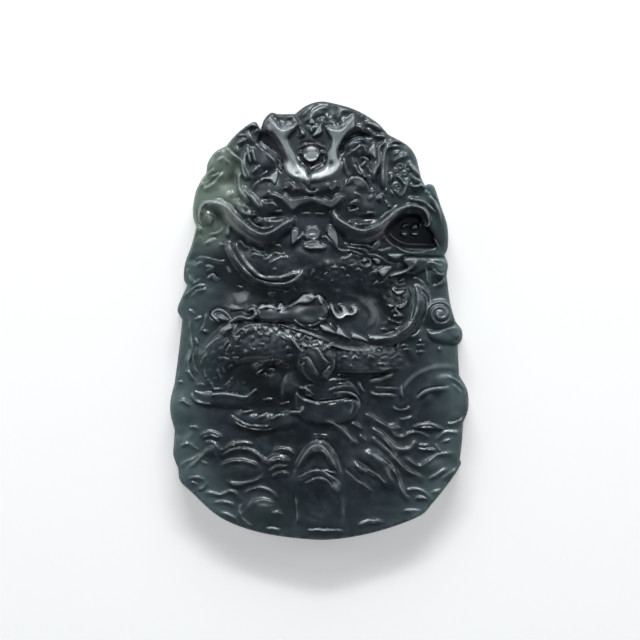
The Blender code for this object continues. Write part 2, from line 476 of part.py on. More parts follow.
def limbs(stone):
    """Belly, thigh and paws with their claws."""
    belly = [(-8.8, 0.8), (-7.0, 1.0), (-5.0, 0.9), (-3.2, 0.6), (-1.4, 0.0), (0.6, -0.9)]
    stone.ridge(belly, [1.8, 2.6, 3.0, 3.0, 2.6, 2.2], [1.1, 1.3, 1.4, 1.3], [1.3, 1.6, 1.5, 1.3], 1.9)
    stone.dome((-1.6, 1.3), (3.4, 2.5), 3.7, 2.2, tilt=-0.12)
    stone.dome((0.2, 2.8), (1.2, 1.3), 3.7, 1.7)
    stone.crest([(-8.8, 1.5), (-7.8, 2.1), (-6.2, 1.7), (-5.0, 2.1), (-3.6, 2.4), (-2.2, 3.4),
                 (-0.9, 3.4)], 0.7, 0.6, 1.2)
    claws = [
        [(1.4, 2.5), (1.8, 1.5), (2.4, 0.8), (3.2, 0.4)],
        [(3.1, 2.5), (3.5, 1.6), (4.1, 1.0), (4.8, 0.8)],
        [(4.6, 2.2), (5.0, 1.5), (5.6, 1.2), (6.2, 1.1)],
    ]
    for route in claws:
        stone.ridge(route, [2.2, 3.0, 3.0, 2.6], 0.45, 0.7, 1.4)
    stone.dome((-0.5, -5.9), (3.1, 3.1), 4.8, 2.8)
    stone.ridge([(-2.6, -7.4), (-4.6, -8.6), (-5.4, -10.0), (-4.6, -11.6)], 2.8, 1.7, 1.7, 2.6)
    stone.ridge([(-9.6, -6.9), (-8.0, -6.2), (-6.6, -5.8), (-5.2, -6.0)], [2.4, 3.2, 3.2, 2.8], 0.9, 1.3, 1.6)
    stone.crest([(-8.9, -7.8), (-7.6, -7.1), (-6.0, -7.2)], 0.7, 0.5, 0.8)
    pit = [(-9.4, -8.4), (-7.4, -8.6), (-5.8, -9.8), (-5.6, -11.2), (-6.6, -12.4), (-8.6, -12.4),
           (-10.0, -11.0)]
    stone.hollow(pit, -1.2, 1.6)
    left_claw = [(-18.0, -11.2), (-16.0, -10.9), (-14.0, -10.7), (-12.0, -10.8), (-10.4, -11.0),
                 (-8.9, -10.0)]
    stone.ridge(left_claw, [0.8, 2.4, 3.2, 3.4, 3.2], 0.6, [0.7, 1.6, 2.2, 2.2, 1.2], [1.0, 2.2, 2.6])
    lower_jaw = [(-14.4, -12.2), (-12.6, -13.0), (-10.6, -13.7), (-8.0, -13.9), (-5.4, -13.7), (-2.6, -13.2)]
    stone.ridge(lower_jaw, [1.4, 2.4, 3.0, 3.0, 2.6], 1.1, 1.5, 2.0)
    stone.crest([(-13.5, -13.0), (-11.8, -14.4), (-9.6, -15.2), (-7.6, -15.4), (-5.8, -15.2)], 0.8, 0.6, 1.0)
    for x, y in ((-10.6, -12.9), (-8.2, -13.4), (-6.2, -13.4), (-3.6, -12.9)):
        stone.dome((x, y), (0.9, 0.6), 3.4, 0.8)
    paw = [(-3.2, -11.2), (-1.4, -12.1), (0.6, -12.4), (2.8, -12.3), (4.6, -12.2), (5.6, -12.9)]
    stone.ridge(paw, [2.8, 4.2, 4.8, 4.8, 4.2, 3.0], [0.9, 1.1, 1.1, 1.2], [1.6, 2.6, 2.9, 2.6, 1.8], 3.2)
    stone.crest([(-3.2, -10.3), (-1.8, -11.3), (0.2, -11.6), (2.4, -11.5), (4.6, -11.1)], 0.8, 0.5, 1.0)
    stone.crest([(1.0, -10.2), (3.0, -9.9), (4.9, -10.4), (5.8, -11.6), (5.4, -13.6)], 0.9, 0.6, 1.2)
    for route in ([(1.0, -9.9), (2.8, -9.4), (4.8, -9.5)], [(2.0, -8.9), (3.0, -8.4), (4.2, -8.4)]):
        stone.crest(route, 0.7, 0.5, 0.8)


def right_side(stone):
    """Water and clouds beside the lower coil, with the big round boss at the right edge."""
    stone.crest([(11.9, -11.4), (11.9, -9.8), (13.2, -8.0), (15.2, -7.0), (17.6, -6.5), (20.0, -6.6)],
                0.7, 1.4, 1.2)
    stone.dome((17.2, -11.6), (4.3, 4.1), 2.4, 3.0)
    stone.crest([(13.7, -11.2), (14.8, -10.2), (16.2, -9.6), (18.8, -9.2)], 0.6, 0.5, 1.2)
    lines = [
        [(7.0, -8.9), (8.8, -8.3), (10.8, -7.9)],
        [(7.4, -10.2), (9.2, -10.5), (11.1, -11.0)],
        [(10.3, -12.2), (11.6, -12.7), (13.1, -12.1)],
        [(11.0, -14.3), (12.2, -14.1), (13.6, -13.9)],
    ]
    for route in lines:
        stone.crest(route, 0.8, 0.5, 1.1)
    leaf = [(13.2, -15.5), (14.6, -14.7), (16.4, -14.8), (17.7, -15.6), (16.0, -16.0), (14.4, -16.0)]
    stone.plate(leaf, 1.6, 1.2, 0.7)


def flowing_water(stone):
    """Strands of water that stream down to the right."""
    strands = [
        ([(6.0, -13.2), (7.8, -13.7), (9.6, -14.9), (11.6, -15.8)], 1.0),
        ([(8.8, -14.9), (10.4, -15.9), (11.5, -16.7), (13.2, -15.9), (14.8, -16.2), (16.2, -17.2)], 1.0),
        ([(7.1, -15.5), (8.4, -15.7), (10.0, -17.1), (11.2, -18.3), (12.8, -18.4), (14.2, -16.5)], 1.4),
        ([(6.9, -16.6), (8.8, -17.4), (10.4, -19.0), (11.9, -20.8), (13.4, -21.7), (15.2, -22.8)], 1.4),
        ([(0.2, -14.2), (2.0, -14.8), (3.4, -15.8), (4.6, -17.1), (5.6, -18.0)], 1.2),
        ([(6.5, -18.4), (8.4, -19.3), (9.9, -20.7), (11.0, -22.5), (11.8, -24.4), (13.4, -26.0)], 1.3),
        ([(4.8, -20.1), (6.6, -21.3), (8.4, -22.5), (9.6, -24.2), (10.0, -25.6)], 1.2),
        ([(3.6, -21.2), (5.2, -22.7), (7.0, -24.0), (8.0, -25.2)], 0.9),
        ([(12.0, -19.6), (14.2, -20.8), (15.6, -19.9), (17.4, -19.1), (19.8, -19.0)], 0.9),
        ([(13.8, -18.2), (15.4, -18.3), (17.2, -18.5)], 0.8),
        ([(15.3, -22.9), (16.8, -21.8), (18.6, -21.1)], 0.9),
        ([(11.8, -24.4), (13.6, -24.1), (15.2, -24.7), (16.0, -26.0)], 0.8),
        ([(5.2, -29.3), (7.2, -28.7), (9.4, -28.8)], 0.8),
    ]
    for route, height in strands:
        stone.crest(route, height, 0.7, 1.8)


def rock(stone):
    """The stepped rock that rises out of the water in the middle."""
    column = [(-3.4, -21.2), (-2.2, -18.8), (-0.9, -17.5), (0.6, -17.5), (1.8, -18.8), (3.0, -21.0),
              (3.6, -24.0), (3.5, -27.0), (3.6, -29.8), (-3.3, -29.8), (-3.2, -26.0), (-3.5, -23.4)]
    stone.plate(column, 3.2, 2.8, 1.7)
    ledges = [
        ([(-3.4, -21.2), (-2.4, -19.4), (-1.0, -18.0), (0.5, -17.9), (1.7, -19.3), (2.8, -21.2)], 1.0),
        ([(-3.4, -22.6), (-1.8, -21.6), (0.2, -21.3), (2.0, -22.3), (3.3, -23.6)], 1.2),
        ([(-2.4, -23.8), (-0.8, -22.8), (0.8, -22.7), (2.2, -23.8)], 0.9),
    ]
    for route, height in ledges:
        stone.crest(route, height, 0.6, 1.3, taper=0.1)
    stone.dome((2.5, -23.8), (0.9, 1.0), 4.4, 1.2)


def waves(stone):
    """Rolling waves and foam bosses at the lower left."""
    bosses = [
        ((-11.2, -21.6), (3.8, 2.3), 2.2, 1.9),
        ((-8.3, -26.9), (3.2, 3.1), 2.2, 2.2),
        ((-17.3, -21.8), (3.1, 2.6), 1.4, 1.6),
        ((-15.4, -18.4), (1.1, 1.0), 1.8, 1.1),
        ((-19.2, -12.2), (2.6, 3.2), 0.9, 1.0),
        ((-19.0, -17.6), (2.2, 2.1), 0.8, 0.9),
    ]
    for centre, radii, lift, drop in bosses:
        stone.dome(centre, radii, lift, drop)
    crests = [
        ([(-14.2, -21.1), (-12.6, -20.2), (-11.0, -20.0), (-9.6, -20.4), (-8.6, -21.0)], 0.6),
        ([(-10.3, -26.3), (-8.6, -25.8), (-6.4, -26.2)], 0.6),
        ([(-11.0, -25.3), (-9.8, -24.3), (-8.2, -23.9), (-6.8, -24.5), (-5.6, -25.9)], 0.9),
        ([(-17.2, -16.8), (-16.2, -16.1), (-15.2, -15.9), (-14.3, -16.3), (-13.5, -17.1)], 1.1),
        ([(-20.2, -21.3), (-19.2, -20.1), (-17.6, -19.6), (-16.5, -18.6), (-15.7, -18.3)], 1.0),
        ([(-14.1, -18.6), (-12.6, -17.6), (-11.0, -17.4), (-9.0, -17.9)], 0.8),
        ([(-14.1, -19.3), (-12.6, -18.5), (-10.6, -18.4), (-9.0, -19.0), (-7.6, -20.2)], 1.0),
        ([(-7.8, -20.1), (-6.8, -19.4), (-5.4, -19.4), (-4.2, -20.3)], 0.9),
        ([(-6.5, -18.5), (-5.2, -18.2), (-3.6, -19.3)], 0.8),
        ([(-7.4, -22.1), (-6.4, -21.0), (-5.2, -20.6), (-4.1, -20.9)], 0.9),
        ([(-16.7, -25.0), (-15.2, -24.7), (-13.2, -24.6), (-11.6, -25.0)], 0.8),
        ([(-15.4, -26.1), (-13.6, -25.9), (-12.0, -26.9)], 0.7),
        ([(-18.7, -15.3), (-17.8, -15.2), (-16.9, -15.6)], 0.6),
        ([(-18.9, -22.8), (-17.4, -22.3), (-15.9, -22.9)], 0.6),
    ]
    for route, height in crests:
        stone.crest(route, height, 0.6, 1.3)


def carved_face():
    """The whole carving, from the low clouds up to the head."""
    stone = Stone(CARVING_STEP)
    upper_clouds(stone)
    mane(stone)
    side_clouds(stone)
    beard(stone)
    coils(stone)
    dorsal_fin(stone)
    limbs(stone)
    right_side(stone)
    flowing_water(stone)
    rock(stone)
    waves(stone)
    head(stone)
    horns(stone)
    mouth(stone)
    whiskers(stone)
    stone.polish(POLISH)
    return stone


def outline_points():
    """Evenly spaced points round the outline, with a point kept at every notch."""
    points = []
    for lobe, following in zip(LOBES, LOBES[1:] + LOBES[:1]):
        line = smooth_line(lobe + following[:1])
        lengths = np.concatenate([[0], np.cumsum(np.hypot(*np.diff(line, axis=0).T))])
        count = max(2, round(lengths[-1] / OUTLINE_SPACING))
        places = np.linspace(0, lengths[-1], count, endpoint=False)
        points += list(zip(np.interp(places, lengths, line[:, 0]), np.interp(places, lengths, line[:, 1])))
    return np.array(points)


def face_points(line):
    """Points in a triangular pattern inside the outline."""
    row_gap = POINT_SPACING * math.sqrt(3) / 2
    rows = np.arange(-HEIGHT / 2, HEIGHT / 2, row_gap)
    columns = np.arange(-WIDTH / 2, WIDTH / 2, POINT_SPACING)
    x, y = np.meshgrid(columns, rows)
    x[1::2] += POINT_SPACING / 2
    inside = depth_inside(line, x, y) > 0.6 * POINT_SPACING
    return np.column_stack([x[inside], y[inside]])


def inset(line, distance):
    """The outline moved inwards by a distance."""
    along_edge = np.roll(line, -1, axis=0) - np.roll(line, 1, axis=0)
    along_edge /= np.hypot(*along_edge.T)[:, None]
    return line + distance * np.column_stack([along_edge[:, 1], -along_edge[:, 0]])


def plaque_mesh():
    """A closed body: carved face, upright wall, eased lower edge and flat back."""
    stone = carved_face()
    line = outline_points()
    stone.round_edge(line)
    middle = (line.min(0) + line.max(0)) / 2
    inner = face_points(line)
    flat = [Vector(p) for p in np.vstack([line, inner])]
    rim_edges = [(i, (i + 1) % len(line)) for i in range(len(line))]
    placed, _, triangles, *_ = delaunay_2d_cdt(flat, rim_edges, [], 1, 1e-6)

    model = bmesh.new()
    face = []
    for index, (x, y) in enumerate(placed):
        z = RIM if index < len(line) else stone.height_at(x, y)
        face.append(model.verts.new(Vector((x - middle[0], y - middle[1], z)) * MM))
    for triangle in triangles:
        model.faces.new([face[i] for i in triangle])

    def ring(points, z):
        return [model.verts.new(Vector((x - middle[0], y - middle[1], z)) * MM) for x, y in points]

    wall = ring(line, BACK_WALL)
    back = ring(inset(line, BACK_EASE), 0)
    for upper, lower in ((face[:len(line)], wall), (wall, back)):
        for i in range(len(line)):
            k = (i + 1) % len(line)
            model.faces.new([upper[i], upper[k], lower[k], lower[i]])
    model.faces.new(back)
    bmesh.ops.triangulate(model, faces=model.faces[:])
    bmesh.ops.recalc_face_normals(model, faces=model.faces[:])
    mesh = bpy.data.meshes.new("plaque")
    model.to_mesh(mesh)
    model.free()
    return mesh


def jade():
    """Dark green-grey jade with a high polish."""
    material = bpy.data.materials.new("jade")
    material.use_nodes = True
    shader = material.node_tree.nodes["Principled BSDF"]
    shader.inputs["Base Color"].default_value = (0.03, 0.045, 0.043, 1)
    shader.inputs["Roughness"].default_value = 0.12
    shader.inputs["Metallic"].default_value = 0
    return material


def main():
    for old in list(bpy.data.objects):
        bpy.data.objects.remove(old)
    plaque = bpy.data.objects.new("plaque", plaque_mesh())
    bpy.context.scene.collection.objects.link(plaque)
    plaque.data.materials.append(jade())
    carved = [v.index for v in plaque.data.vertices if v.co.z > 1.01 * RIM * MM]
    plaque.vertex_groups.new(name="carving").add(carved, 1, "REPLACE")
    thinning = plaque.modifiers.new("fewer triangles", "DECIMATE")
    thinning.ratio = TRIANGLES / len(plaque.data.polygons)
    thinning.vertex_group = "carving"
    plaque.data.shade_smooth()


main()
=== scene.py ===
"""A jade plaque with a coiled dragon in deep relief, lying on its back on a pale studio floor.

The carving's own sizes are millimetres. The plaque lies on Z = 0, with its head towards +Y.
"""
import math
from collections import namedtuple

import bmesh
import bpy
import numpy as np
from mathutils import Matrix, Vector
from mathutils.geometry import delaunay_2d_cdt


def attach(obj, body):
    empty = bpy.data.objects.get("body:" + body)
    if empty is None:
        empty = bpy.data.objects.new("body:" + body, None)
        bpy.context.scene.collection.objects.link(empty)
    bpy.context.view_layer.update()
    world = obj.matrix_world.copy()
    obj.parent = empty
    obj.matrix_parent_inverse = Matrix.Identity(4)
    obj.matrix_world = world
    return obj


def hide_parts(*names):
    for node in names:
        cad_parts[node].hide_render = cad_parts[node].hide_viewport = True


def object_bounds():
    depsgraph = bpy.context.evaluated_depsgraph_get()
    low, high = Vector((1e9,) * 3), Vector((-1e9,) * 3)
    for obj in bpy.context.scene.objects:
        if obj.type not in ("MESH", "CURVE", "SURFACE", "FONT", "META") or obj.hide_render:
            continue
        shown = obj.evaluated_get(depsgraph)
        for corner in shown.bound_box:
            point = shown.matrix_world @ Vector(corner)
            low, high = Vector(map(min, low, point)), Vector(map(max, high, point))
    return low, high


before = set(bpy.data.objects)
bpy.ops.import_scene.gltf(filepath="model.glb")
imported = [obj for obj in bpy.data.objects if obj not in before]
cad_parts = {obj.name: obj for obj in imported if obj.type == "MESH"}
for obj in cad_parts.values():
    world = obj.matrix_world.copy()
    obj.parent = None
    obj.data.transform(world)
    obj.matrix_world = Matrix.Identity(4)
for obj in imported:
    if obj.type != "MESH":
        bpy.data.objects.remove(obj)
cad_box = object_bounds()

MM = 0.001

HEIGHT = 62.6
WIDTH = 42.7
GROUND = 5.0
RIM = 2.6
BACK_WALL = 0.8
INSIDE = 0.9999
BACK_EASE = 0.5
WALL_MIDDLE = 0.62
EASE_STEP = 0.3
EDGE_ROUND = 0.3

CARVING_STEP = 0.08
POLISH = 0.055
FILLET = 0.3
POINT_SPACING = 0.13
DETAIL = 0.022
OUTLINE_SPACING = 0.3
CREASE_ANGLE = 50
SHARP_SCALE = 0.16
PROUD_SCALE = 1.4
FACING_SCALE = 0.12

# A carved edge: the width of its painted highlight core, the cut on one side and how the hand varies its
# height.
CORE = 0.16
SHOULDER = 0.62
CUT_START = 0.25
CUT_DEPTH = 0.5
# How dark the painted shade in a cut is, and how much of the painted highlight spreads down the soft fall.
CUT_PAINTED_SHADE = 1.08
FALL_GLOW = 0.55
HAND_SHARE = 0.25
HAND_WAVE = 2.3
# How strong the painted sheen on the body of a lock or ripple is.
LOCK_PAINTED_SHEEN = 0.3

# What the colour of the jade is worked out from, kept at each point of the mesh; most of it places painted
# highlights, sheen and shade.
SURFACE = ("edge_distance", "sharp", "proud", "facing", "tone", "glow")

TOOL_MARKS = 500
TOOL_DEPTH = 0.16
TOOL_SEED = 4

# Colours of the jade.
DEEP_JADE = (0.0060, 0.0115, 0.0155, 1)
CLEAR_JADE = (0.104, 0.150, 0.150, 1)
SLATE = (0.028, 0.040, 0.050, 1)
GREY_MOTTLE = (0.056, 0.070, 0.084, 1)
SAGE = (0.235, 0.288, 0.228, 1)
# Painted light and shade, in order: a sheen on raised parts, shade in hollows, a pale highlight that is
# partly paler stone, a brighter highlight, the darkest shade, and highlights along carved edges.
PAINTED_SHEEN_GREY = (0.135, 0.143, 0.158, 1)
PAINTED_HOLLOW_SHADE = (0.003, 0.005, 0.006, 1)
PALE_STONE_AND_HIGHLIGHT = (0.37, 0.39, 0.395, 1)
PAINTED_HIGHLIGHT_WHITE = (0.66, 0.68, 0.69, 1)
PAINTED_SHADE_BLACK = (0.002, 0.003, 0.004, 1)
PAINTED_EDGE_HIGHLIGHT = (0.41, 0.425, 0.43, 1)
PAINTED_FINE_HIGHLIGHT = (0.34, 0.37, 0.38, 1)

# The sage patch at the upper left, in metres.
SAGE_CENTRE = (-0.0165, 0.019)
SAGE_RADII = (0.0075, 0.0105)

# The studio.
PALE_FLOOR = (0.85, 0.81, 0.80, 1)
COOL_WHITE = (0.92, 0.98, 1.0)
DIM_ROOM = (0.075, 0.092, 0.105, 1)

# The photograph: its width in pixels, and its pixels to a millimetre of the plaque.
PHOTO_WIDTH = 640
PHOTO_SCALE = 7

# In metres: the camera's distance from where the photo's scale holds, that height, and a small shift.
VIEW_DISTANCE = 1.0
VIEW_HEIGHT = 0.004
VIEW_SHIFT = 0.0001

# Broad masses under the carving: centre, radii, height and how flat each is on top.
MASSES = [
    ((0, -1), (25, 35), 1, 2),
    ((-1, 22), (24, 20), 2.8, 8),
    ((-1, -4), (17, 15), 1.9, 2),
    ((0, -22), (14, 13), 1.4, 2),
    ((-1, 1), (17, 31), 1.6, 2),
    ((-1, 23), (12, 14), 0.9, 2),
]

# The outline, clockwise from the crown: each lobe runs from one notch to the next.
LOBES = [
    [(-3.5, 29.5), (-1.9, 30.7), (0.1, 31.3), (2.2, 31), (5.2, 30.1), (8.1, 28.4), (9.4, 27.1)],
    [(9.8, 26.6), (12.5, 25.1), (13.8, 23.4), (14.5, 20.6)],
    [(15.1, 19.3), (15.8, 19.5), (16.5, 19), (17.4, 16.3), (18.3, 13.6), (18.4, 10.6)],
    [(17.9, 9.3), (18.4, 8), (18.2, 6.4)],
    [(18.3, 5.8), (18.7, 2.6), (19.4, 0.1)],
    [(19.5, -0.2), (20.4, -1.4), (20.4, -2.7)],
    [(19.8, -3.6), (20, -7.6)],
    [(20.1, -8), (21.2, -10.1), (21.3, -12.7)],
    [(20.6, -14.6), (20.4, -17.5)],
    [(20.1, -19.9), (20.2, -20.7), (18.6, -23.2), (16.1, -26.3), (14.2, -28.1), (8.4, -30.2),
     (2.6, -31.3), (-2.1, -31.3), (-8.8, -30.3), (-14.2, -28.2), (-18.2, -24.7), (-19.9, -23)],
    [(-20.2, -21.2), (-20.9, -19.3), (-20.8, -17.3)],
    [(-20.7, -15.7), (-21.3, -13.4), (-21.3, -11.4)],
    [(-20.7, -8.9), (-20.1, -4.3)],
    [(-19.6, 0.1), (-20.3, 1.4), (-19.9, 2.8)],
    [(-18.9, 5), (-19.4, 6), (-19.2, 8.2), (-18.3, 10.7)],
    [(-17.6, 13.4), (-18.1, 15.2), (-17.8, 18), (-17, 19.9)],
    [(-16.2, 21), (-15.9, 22.7), (-14.8, 24.2)],
    [(-13.4, 24.9), (-11.9, 26.6), (-10.3, 27.9), (-9.2, 28.4)],
    [(-8.4, 27.3), (-7.9, 28.7), (-6.9, 29.7), (-5.8, 29.5)],
]


def smooth_line(points, closed=False, steps=6):
    """A smooth curve through the points, as short straight steps."""
    p = np.asarray(points, float)
    if closed:
        p = np.vstack([p[-1], p, p[0], p[1]])
    else:
        p = np.vstack([2 * p[0] - p[1], p, 2 * p[-1] - p[-2]])
    t = np.linspace(0, 1, steps, endpoint=False)[:, None]
    spans = []
    for a, b, c, d in zip(p[:-3], p[1:-2], p[2:-1], p[3:]):
        bend = (2 * a - 5 * b + 4 * c - d) * t**2 + (3 * b - a - 3 * c + d) * t**3
        spans.append(0.5 * (2 * b + (c - a) * t + bend))
    line = np.vstack(spans)
    return line if closed else np.vstack([line, p[-2]])


def arc(centre, radii, eighths):
    """Points on an oval, at the given eighths of a turn."""
    (x, y), (across, up) = centre, radii
    turns = [math.pi * k / 4 for k in eighths]
    return [(x + across * math.cos(turn), y + up * math.sin(turn)) for turn in turns]


def along(values, share):
    """A size that changes evenly along a route, or one that stays the same."""
    if np.isscalar(values):
        return values
    return np.interp(share, np.linspace(0, 1, len(values)), values)


def faded(share, taper, length=1):
    """Goes from 0 to 1 and back over taper at both ends of a route of the given length."""
    return np.clip(share * length / taper, 0, 1) * np.clip((1 - share) * length / taper, 0, 1)


def nearest_on(line, x, y):
    """The distance to a line, the share of its length there, whether that is on its left, and its length."""
    steps = np.diff(line, axis=0)
    lengths = np.hypot(*steps.T)
    starts = np.cumsum(lengths) - lengths
    best = np.full(x.shape, np.inf)
    share = np.zeros(x.shape)
    left = np.zeros(x.shape, bool)
    for (ax, ay), (dx, dy), length, start in zip(line, steps, lengths, starts):
        t = np.clip(((x - ax) * dx + (y - ay) * dy) / length**2, 0, 1)
        across = x - ax - t * dx
        up = y - ay - t * dy
        gap = across**2 + up**2
        nearer = gap < best
        best = np.where(nearer, gap, best)
        share = np.where(nearer, (start + t * length) / lengths.sum(), share)
        left = np.where(nearer, dx * up - dy * across >= 0, left)
    return np.sqrt(best), share, left, lengths.sum()


def depth_inside(line, x, y):
    """The distance to a closed line, positive inside it."""
    ends = np.vstack([line, line[:1]])
    best = np.full(x.shape, np.inf)
    inside = np.zeros(x.shape, bool)
    for (ax, ay), (bx, by) in zip(ends[:-1], ends[1:]):
        dx, dy = bx - ax, by - ay
        t = np.clip(((x - ax) * dx + (y - ay) * dy) / (dx * dx + dy * dy), 0, 1)
        best = np.minimum(best, (x - ax - t * dx) ** 2 + (y - ay - t * dy) ** 2)
        if ay != by:
            inside ^= ((ay > y) != (by > y)) & (x < dx * (y - ay) / dy + ax)
    return np.where(inside, 1, -1) * np.sqrt(best)


def ease(q):
    """Goes smoothly from 0 to 1."""
    return q * q * (3 - 2 * q)


# The grid beside a route: q is 0 on the route and 1 where it ends sideways.
Beside = namedtuple("Beside", "part distance share left length reach q")


class Stone:
    """The face of the plaque as heights over a fine grid, which each cut or raised form changes."""

    def __init__(self, step):
        self.step = step
        self.xs = np.arange(-WIDTH / 2 - step, WIDTH / 2 + 2 * step, step)
        self.ys = np.arange(-HEIGHT / 2 - step, HEIGHT / 2 + 2 * step, step)
        self.x, self.y = np.meshgrid(self.xs, self.ys)
        self.base = np.full_like(self.x, GROUND)
        for (cx, cy), (rx, ry), height, flatness in MASSES:
            q = np.clip(np.hypot((self.x - cx) / rx, (self.y - cy) / ry), 0, 1)
            self.base += height * (1 - q**flatness) ** 2
        self.z = self.base.copy()
        # Painted light over the same grid: tone holds pale painted highlights, partly paler stone, and dark
        # painted shade; glow holds painted highlights along carved edges.
        self.tone = np.zeros_like(self.x)
        self.glow = np.zeros_like(self.x)
        chance = np.random.default_rng(TOOL_SEED)
        for _ in range(TOOL_MARKS):
            centre = chance.uniform((-WIDTH / 2, -HEIGHT / 2), (WIDTH / 2, HEIGHT / 2))
            radii = chance.uniform(0.6, 2.6, 2)
            self.swell(centre, radii, chance.uniform(-TOOL_DEPTH, TOOL_DEPTH), chance.uniform(0, 180))

    def window(self, points, reach):
        """The part of the grid that a form can touch."""
        points = np.asarray(points)
        low, high = points.min(0) - reach, points.max(0) + reach
        columns = np.searchsorted(self.xs, [low[0], high[0]])
        rows = np.searchsorted(self.ys, [low[1], high[1]])
        return slice(*rows), slice(*columns)

    def beside(self, route, up, down):
        """Where the grid lies beside a route that reaches up to its left and down to its right."""
        line = smooth_line(route)
        part = self.window(line, max(np.max(up), np.max(down)))
        distance, share, left, length = nearest_on(line, self.x[part], self.y[part])
        reach = np.where(left, along(up, share), along(down, share))
        return Beside(part, distance, share, left, length, reach, np.clip(distance / reach, 0, 1))

    def within(self, outline):
        """The part of the grid round a closed outline, the depth inside it, and Y from its middle."""
        line = smooth_line(outline, closed=True)
        part = self.window(line, 0)
        return part, depth_inside(line, self.x[part], self.y[part]), self.y[part] - line[:, 1].mean()

    def lay(self, part, inside, height):
        """Adds a form to what is there, with a small fillet where the two meet."""
        z = self.z[part]
        near = np.clip(FILLET - np.abs(z - height), 0, None) / FILLET
        joined = np.maximum(z, height) + near * near * FILLET / 4
        self.z[part] = np.where(inside, joined, z)

    def oval(self, part, centre, radii, turn):
        """0 in the middle of an oval and 1 on its rim, over part of the grid."""
        angle = math.radians(turn)
        dx = self.x[part] - centre[0]
        dy = self.y[part] - centre[1]
        u = (dx * math.cos(angle) + dy * math.sin(angle)) / radii[0]
        v = (dy * math.cos(angle) - dx * math.sin(angle)) / radii[1]
        return np.clip(np.hypot(u, v), 0, 1)

    def ridge(self, route, lift, up, down, drop):
        """A body along a route: its sides fall by drop, within up on its left and down on its right."""
        at = self.beside(route, up, down)
        top = self.base[at.part] + along(lift, at.share)
        self.lay(at.part, at.q < 1, top - along(drop, at.share) * at.q**2)

    def crest(self, route, height, up=0.6, down=1.4, taper=0.3):
        """Raises an edge along a route, with a cut on its left and a long soft fall on its right, and paints
        a highlight along it and shade in the cut.
        """
        at = self.beside(route, up, down)
        x, y = route[0]
        hand = np.sin(2 * np.pi * at.share * at.length / HAND_WAVE + 9 * x + 5 * y)
        rise = along(height, at.share) * ease(faded(at.share, taper)) * (1 - HAND_SHARE + HAND_SHARE * hand)
        cut = CUT_DEPTH * np.sin(np.pi * np.clip((at.q - CUT_START) / (1 - CUT_START), 0, 1)) ** 2
        edge = ease(np.clip(1 - at.q / SHOULDER, 0, 1))
        self.z[at.part] += rise * np.where(at.left, edge - cut, (1 - at.q) ** 1.5)
        # A painted highlight along the core and down the soft fall, and painted shade in the cut.
        core = np.clip(1 - at.distance / CORE, 0, 1)
        fall = (1 - FALL_GLOW) * core + FALL_GLOW * (1 - at.q) ** 2
        self.glow[at.part] = np.maximum(self.glow[at.part], rise * np.where(at.left, core, fall))
        self.tone[at.part] -= np.where(at.left, CUT_PAINTED_SHADE * rise * cut, 0)

    def bead(self, route, height, width=0.45, taper=0.15):
        """Raises a thin round line along a route, or cuts a groove where height is negative, and paints a
        highlight along its core.
        """
        at = self.beside(route, width, width)
        rise = along(height, at.share) * ease(faded(at.share, taper))
        self.z[at.part] += rise * (1 - at.q * at.q) ** 2
        bright = rise * np.clip(1 - at.distance / CORE, 0, 1)
        self.glow[at.part] = np.maximum(self.glow[at.part], bright)

    def band(self, route, height, up, down, flatness=4):
        """Raises a full soft body along a route, that sinks away over its own width at both ends."""
        at = self.beside(route, up, down)
        ends = ease(faded(at.share, np.mean(up) + np.mean(down), at.length))
        self.z[at.part] += along(height, at.share) * ends * (1 - at.q**flatness) ** 2

    def lock(self, route, height, down):
        """A ribbon of hair or cloud: a soft body with a painted sheen and one edge with a painted highlight.
        """
        self.band(route, 0.9 * height, 0.4, down)
        self.stroke(route, LOCK_PAINTED_SHEEN * height, 1.2 * down)
        self.crest(route, 0.7 * height, 0.35, 0.8 * down)

    def ripple(self, route, height, down):
        """A low ripple: a faint body with a painted sheen and one thin edge with a painted highlight."""
        self.band(route, 0.35 * height, 0.4, down)
        self.stroke(route, LOCK_PAINTED_SHEEN * height, 1.4 * down)
        self.crest(route, 0.8 * height, 0.3, 0.7 * down)

    def stroke(self, route, tone, width):
        """Paints a soft highlight along a route."""
        at = self.beside(route, width, width)
        soft = tone * ease(faded(at.share, 0.25)) * (1 - at.q**2)
        self.tone[at.part] = np.maximum(self.tone[at.part], soft)

    def dome(self, centre, radii, lift, drop, turn=0.0, tilt=0.0):
        """An oval boss whose height falls by drop at its rim; tilt slopes its top along Y."""
        part = self.window([centre], max(radii))
        q = self.oval(part, centre, radii, turn)
        top = self.base[part] + lift + tilt * (self.y[part] - centre[1])
        self.lay(part, q < 1, top - drop * q**2)

    def swell(self, centre, radii, height, turn=0.0):
        """Raises a soft oval, or presses one in where height is negative."""
        part = self.window([centre], max(radii))
        self.z[part] += height * (1 - self.oval(part, centre, radii, turn) ** 2) ** 2

    def plate(self, outline, lift, drop, edge, tilt=0.0):
        """A flat form with an eased edge; tilt slopes its face along Y."""
        part, depth, above = self.within(outline)
        face = self.base[part] + lift + tilt * above
        self.lay(part, depth > 0, face - drop * np.clip(1 - depth / edge, 0, 1) ** 2)

    def raised(self, outline, height, edge, tilt=0.0):
        """Lifts what is inside an outline, with a round shoulder; tilt slopes the lift along Y."""
        part, depth, above = self.within(outline)
        q = np.clip(1 - depth / edge, 0, 1)
        self.z[part] += np.where(depth > 0, (height + tilt * above) * np.sqrt(1 - q * q), 0)

    def tint(self, outline, tone, edge):
        """Paints the stone inside an outline paler, as a highlight that is partly paler stone, or darker as
        painted shade where tone is negative.
        """
        part, depth, _ = self.within(outline)
        self.tone[part] += tone * ease(np.clip(depth / edge, 0, 1))

    def pale(self, outline, height, edge, tone, fade, tilt=0.0):
        """Raises what is inside an outline over edge, and paints a highlight on it by tone over fade."""
        self.raised(outline, height, edge, tilt)
        self.tint(outline, tone, fade)

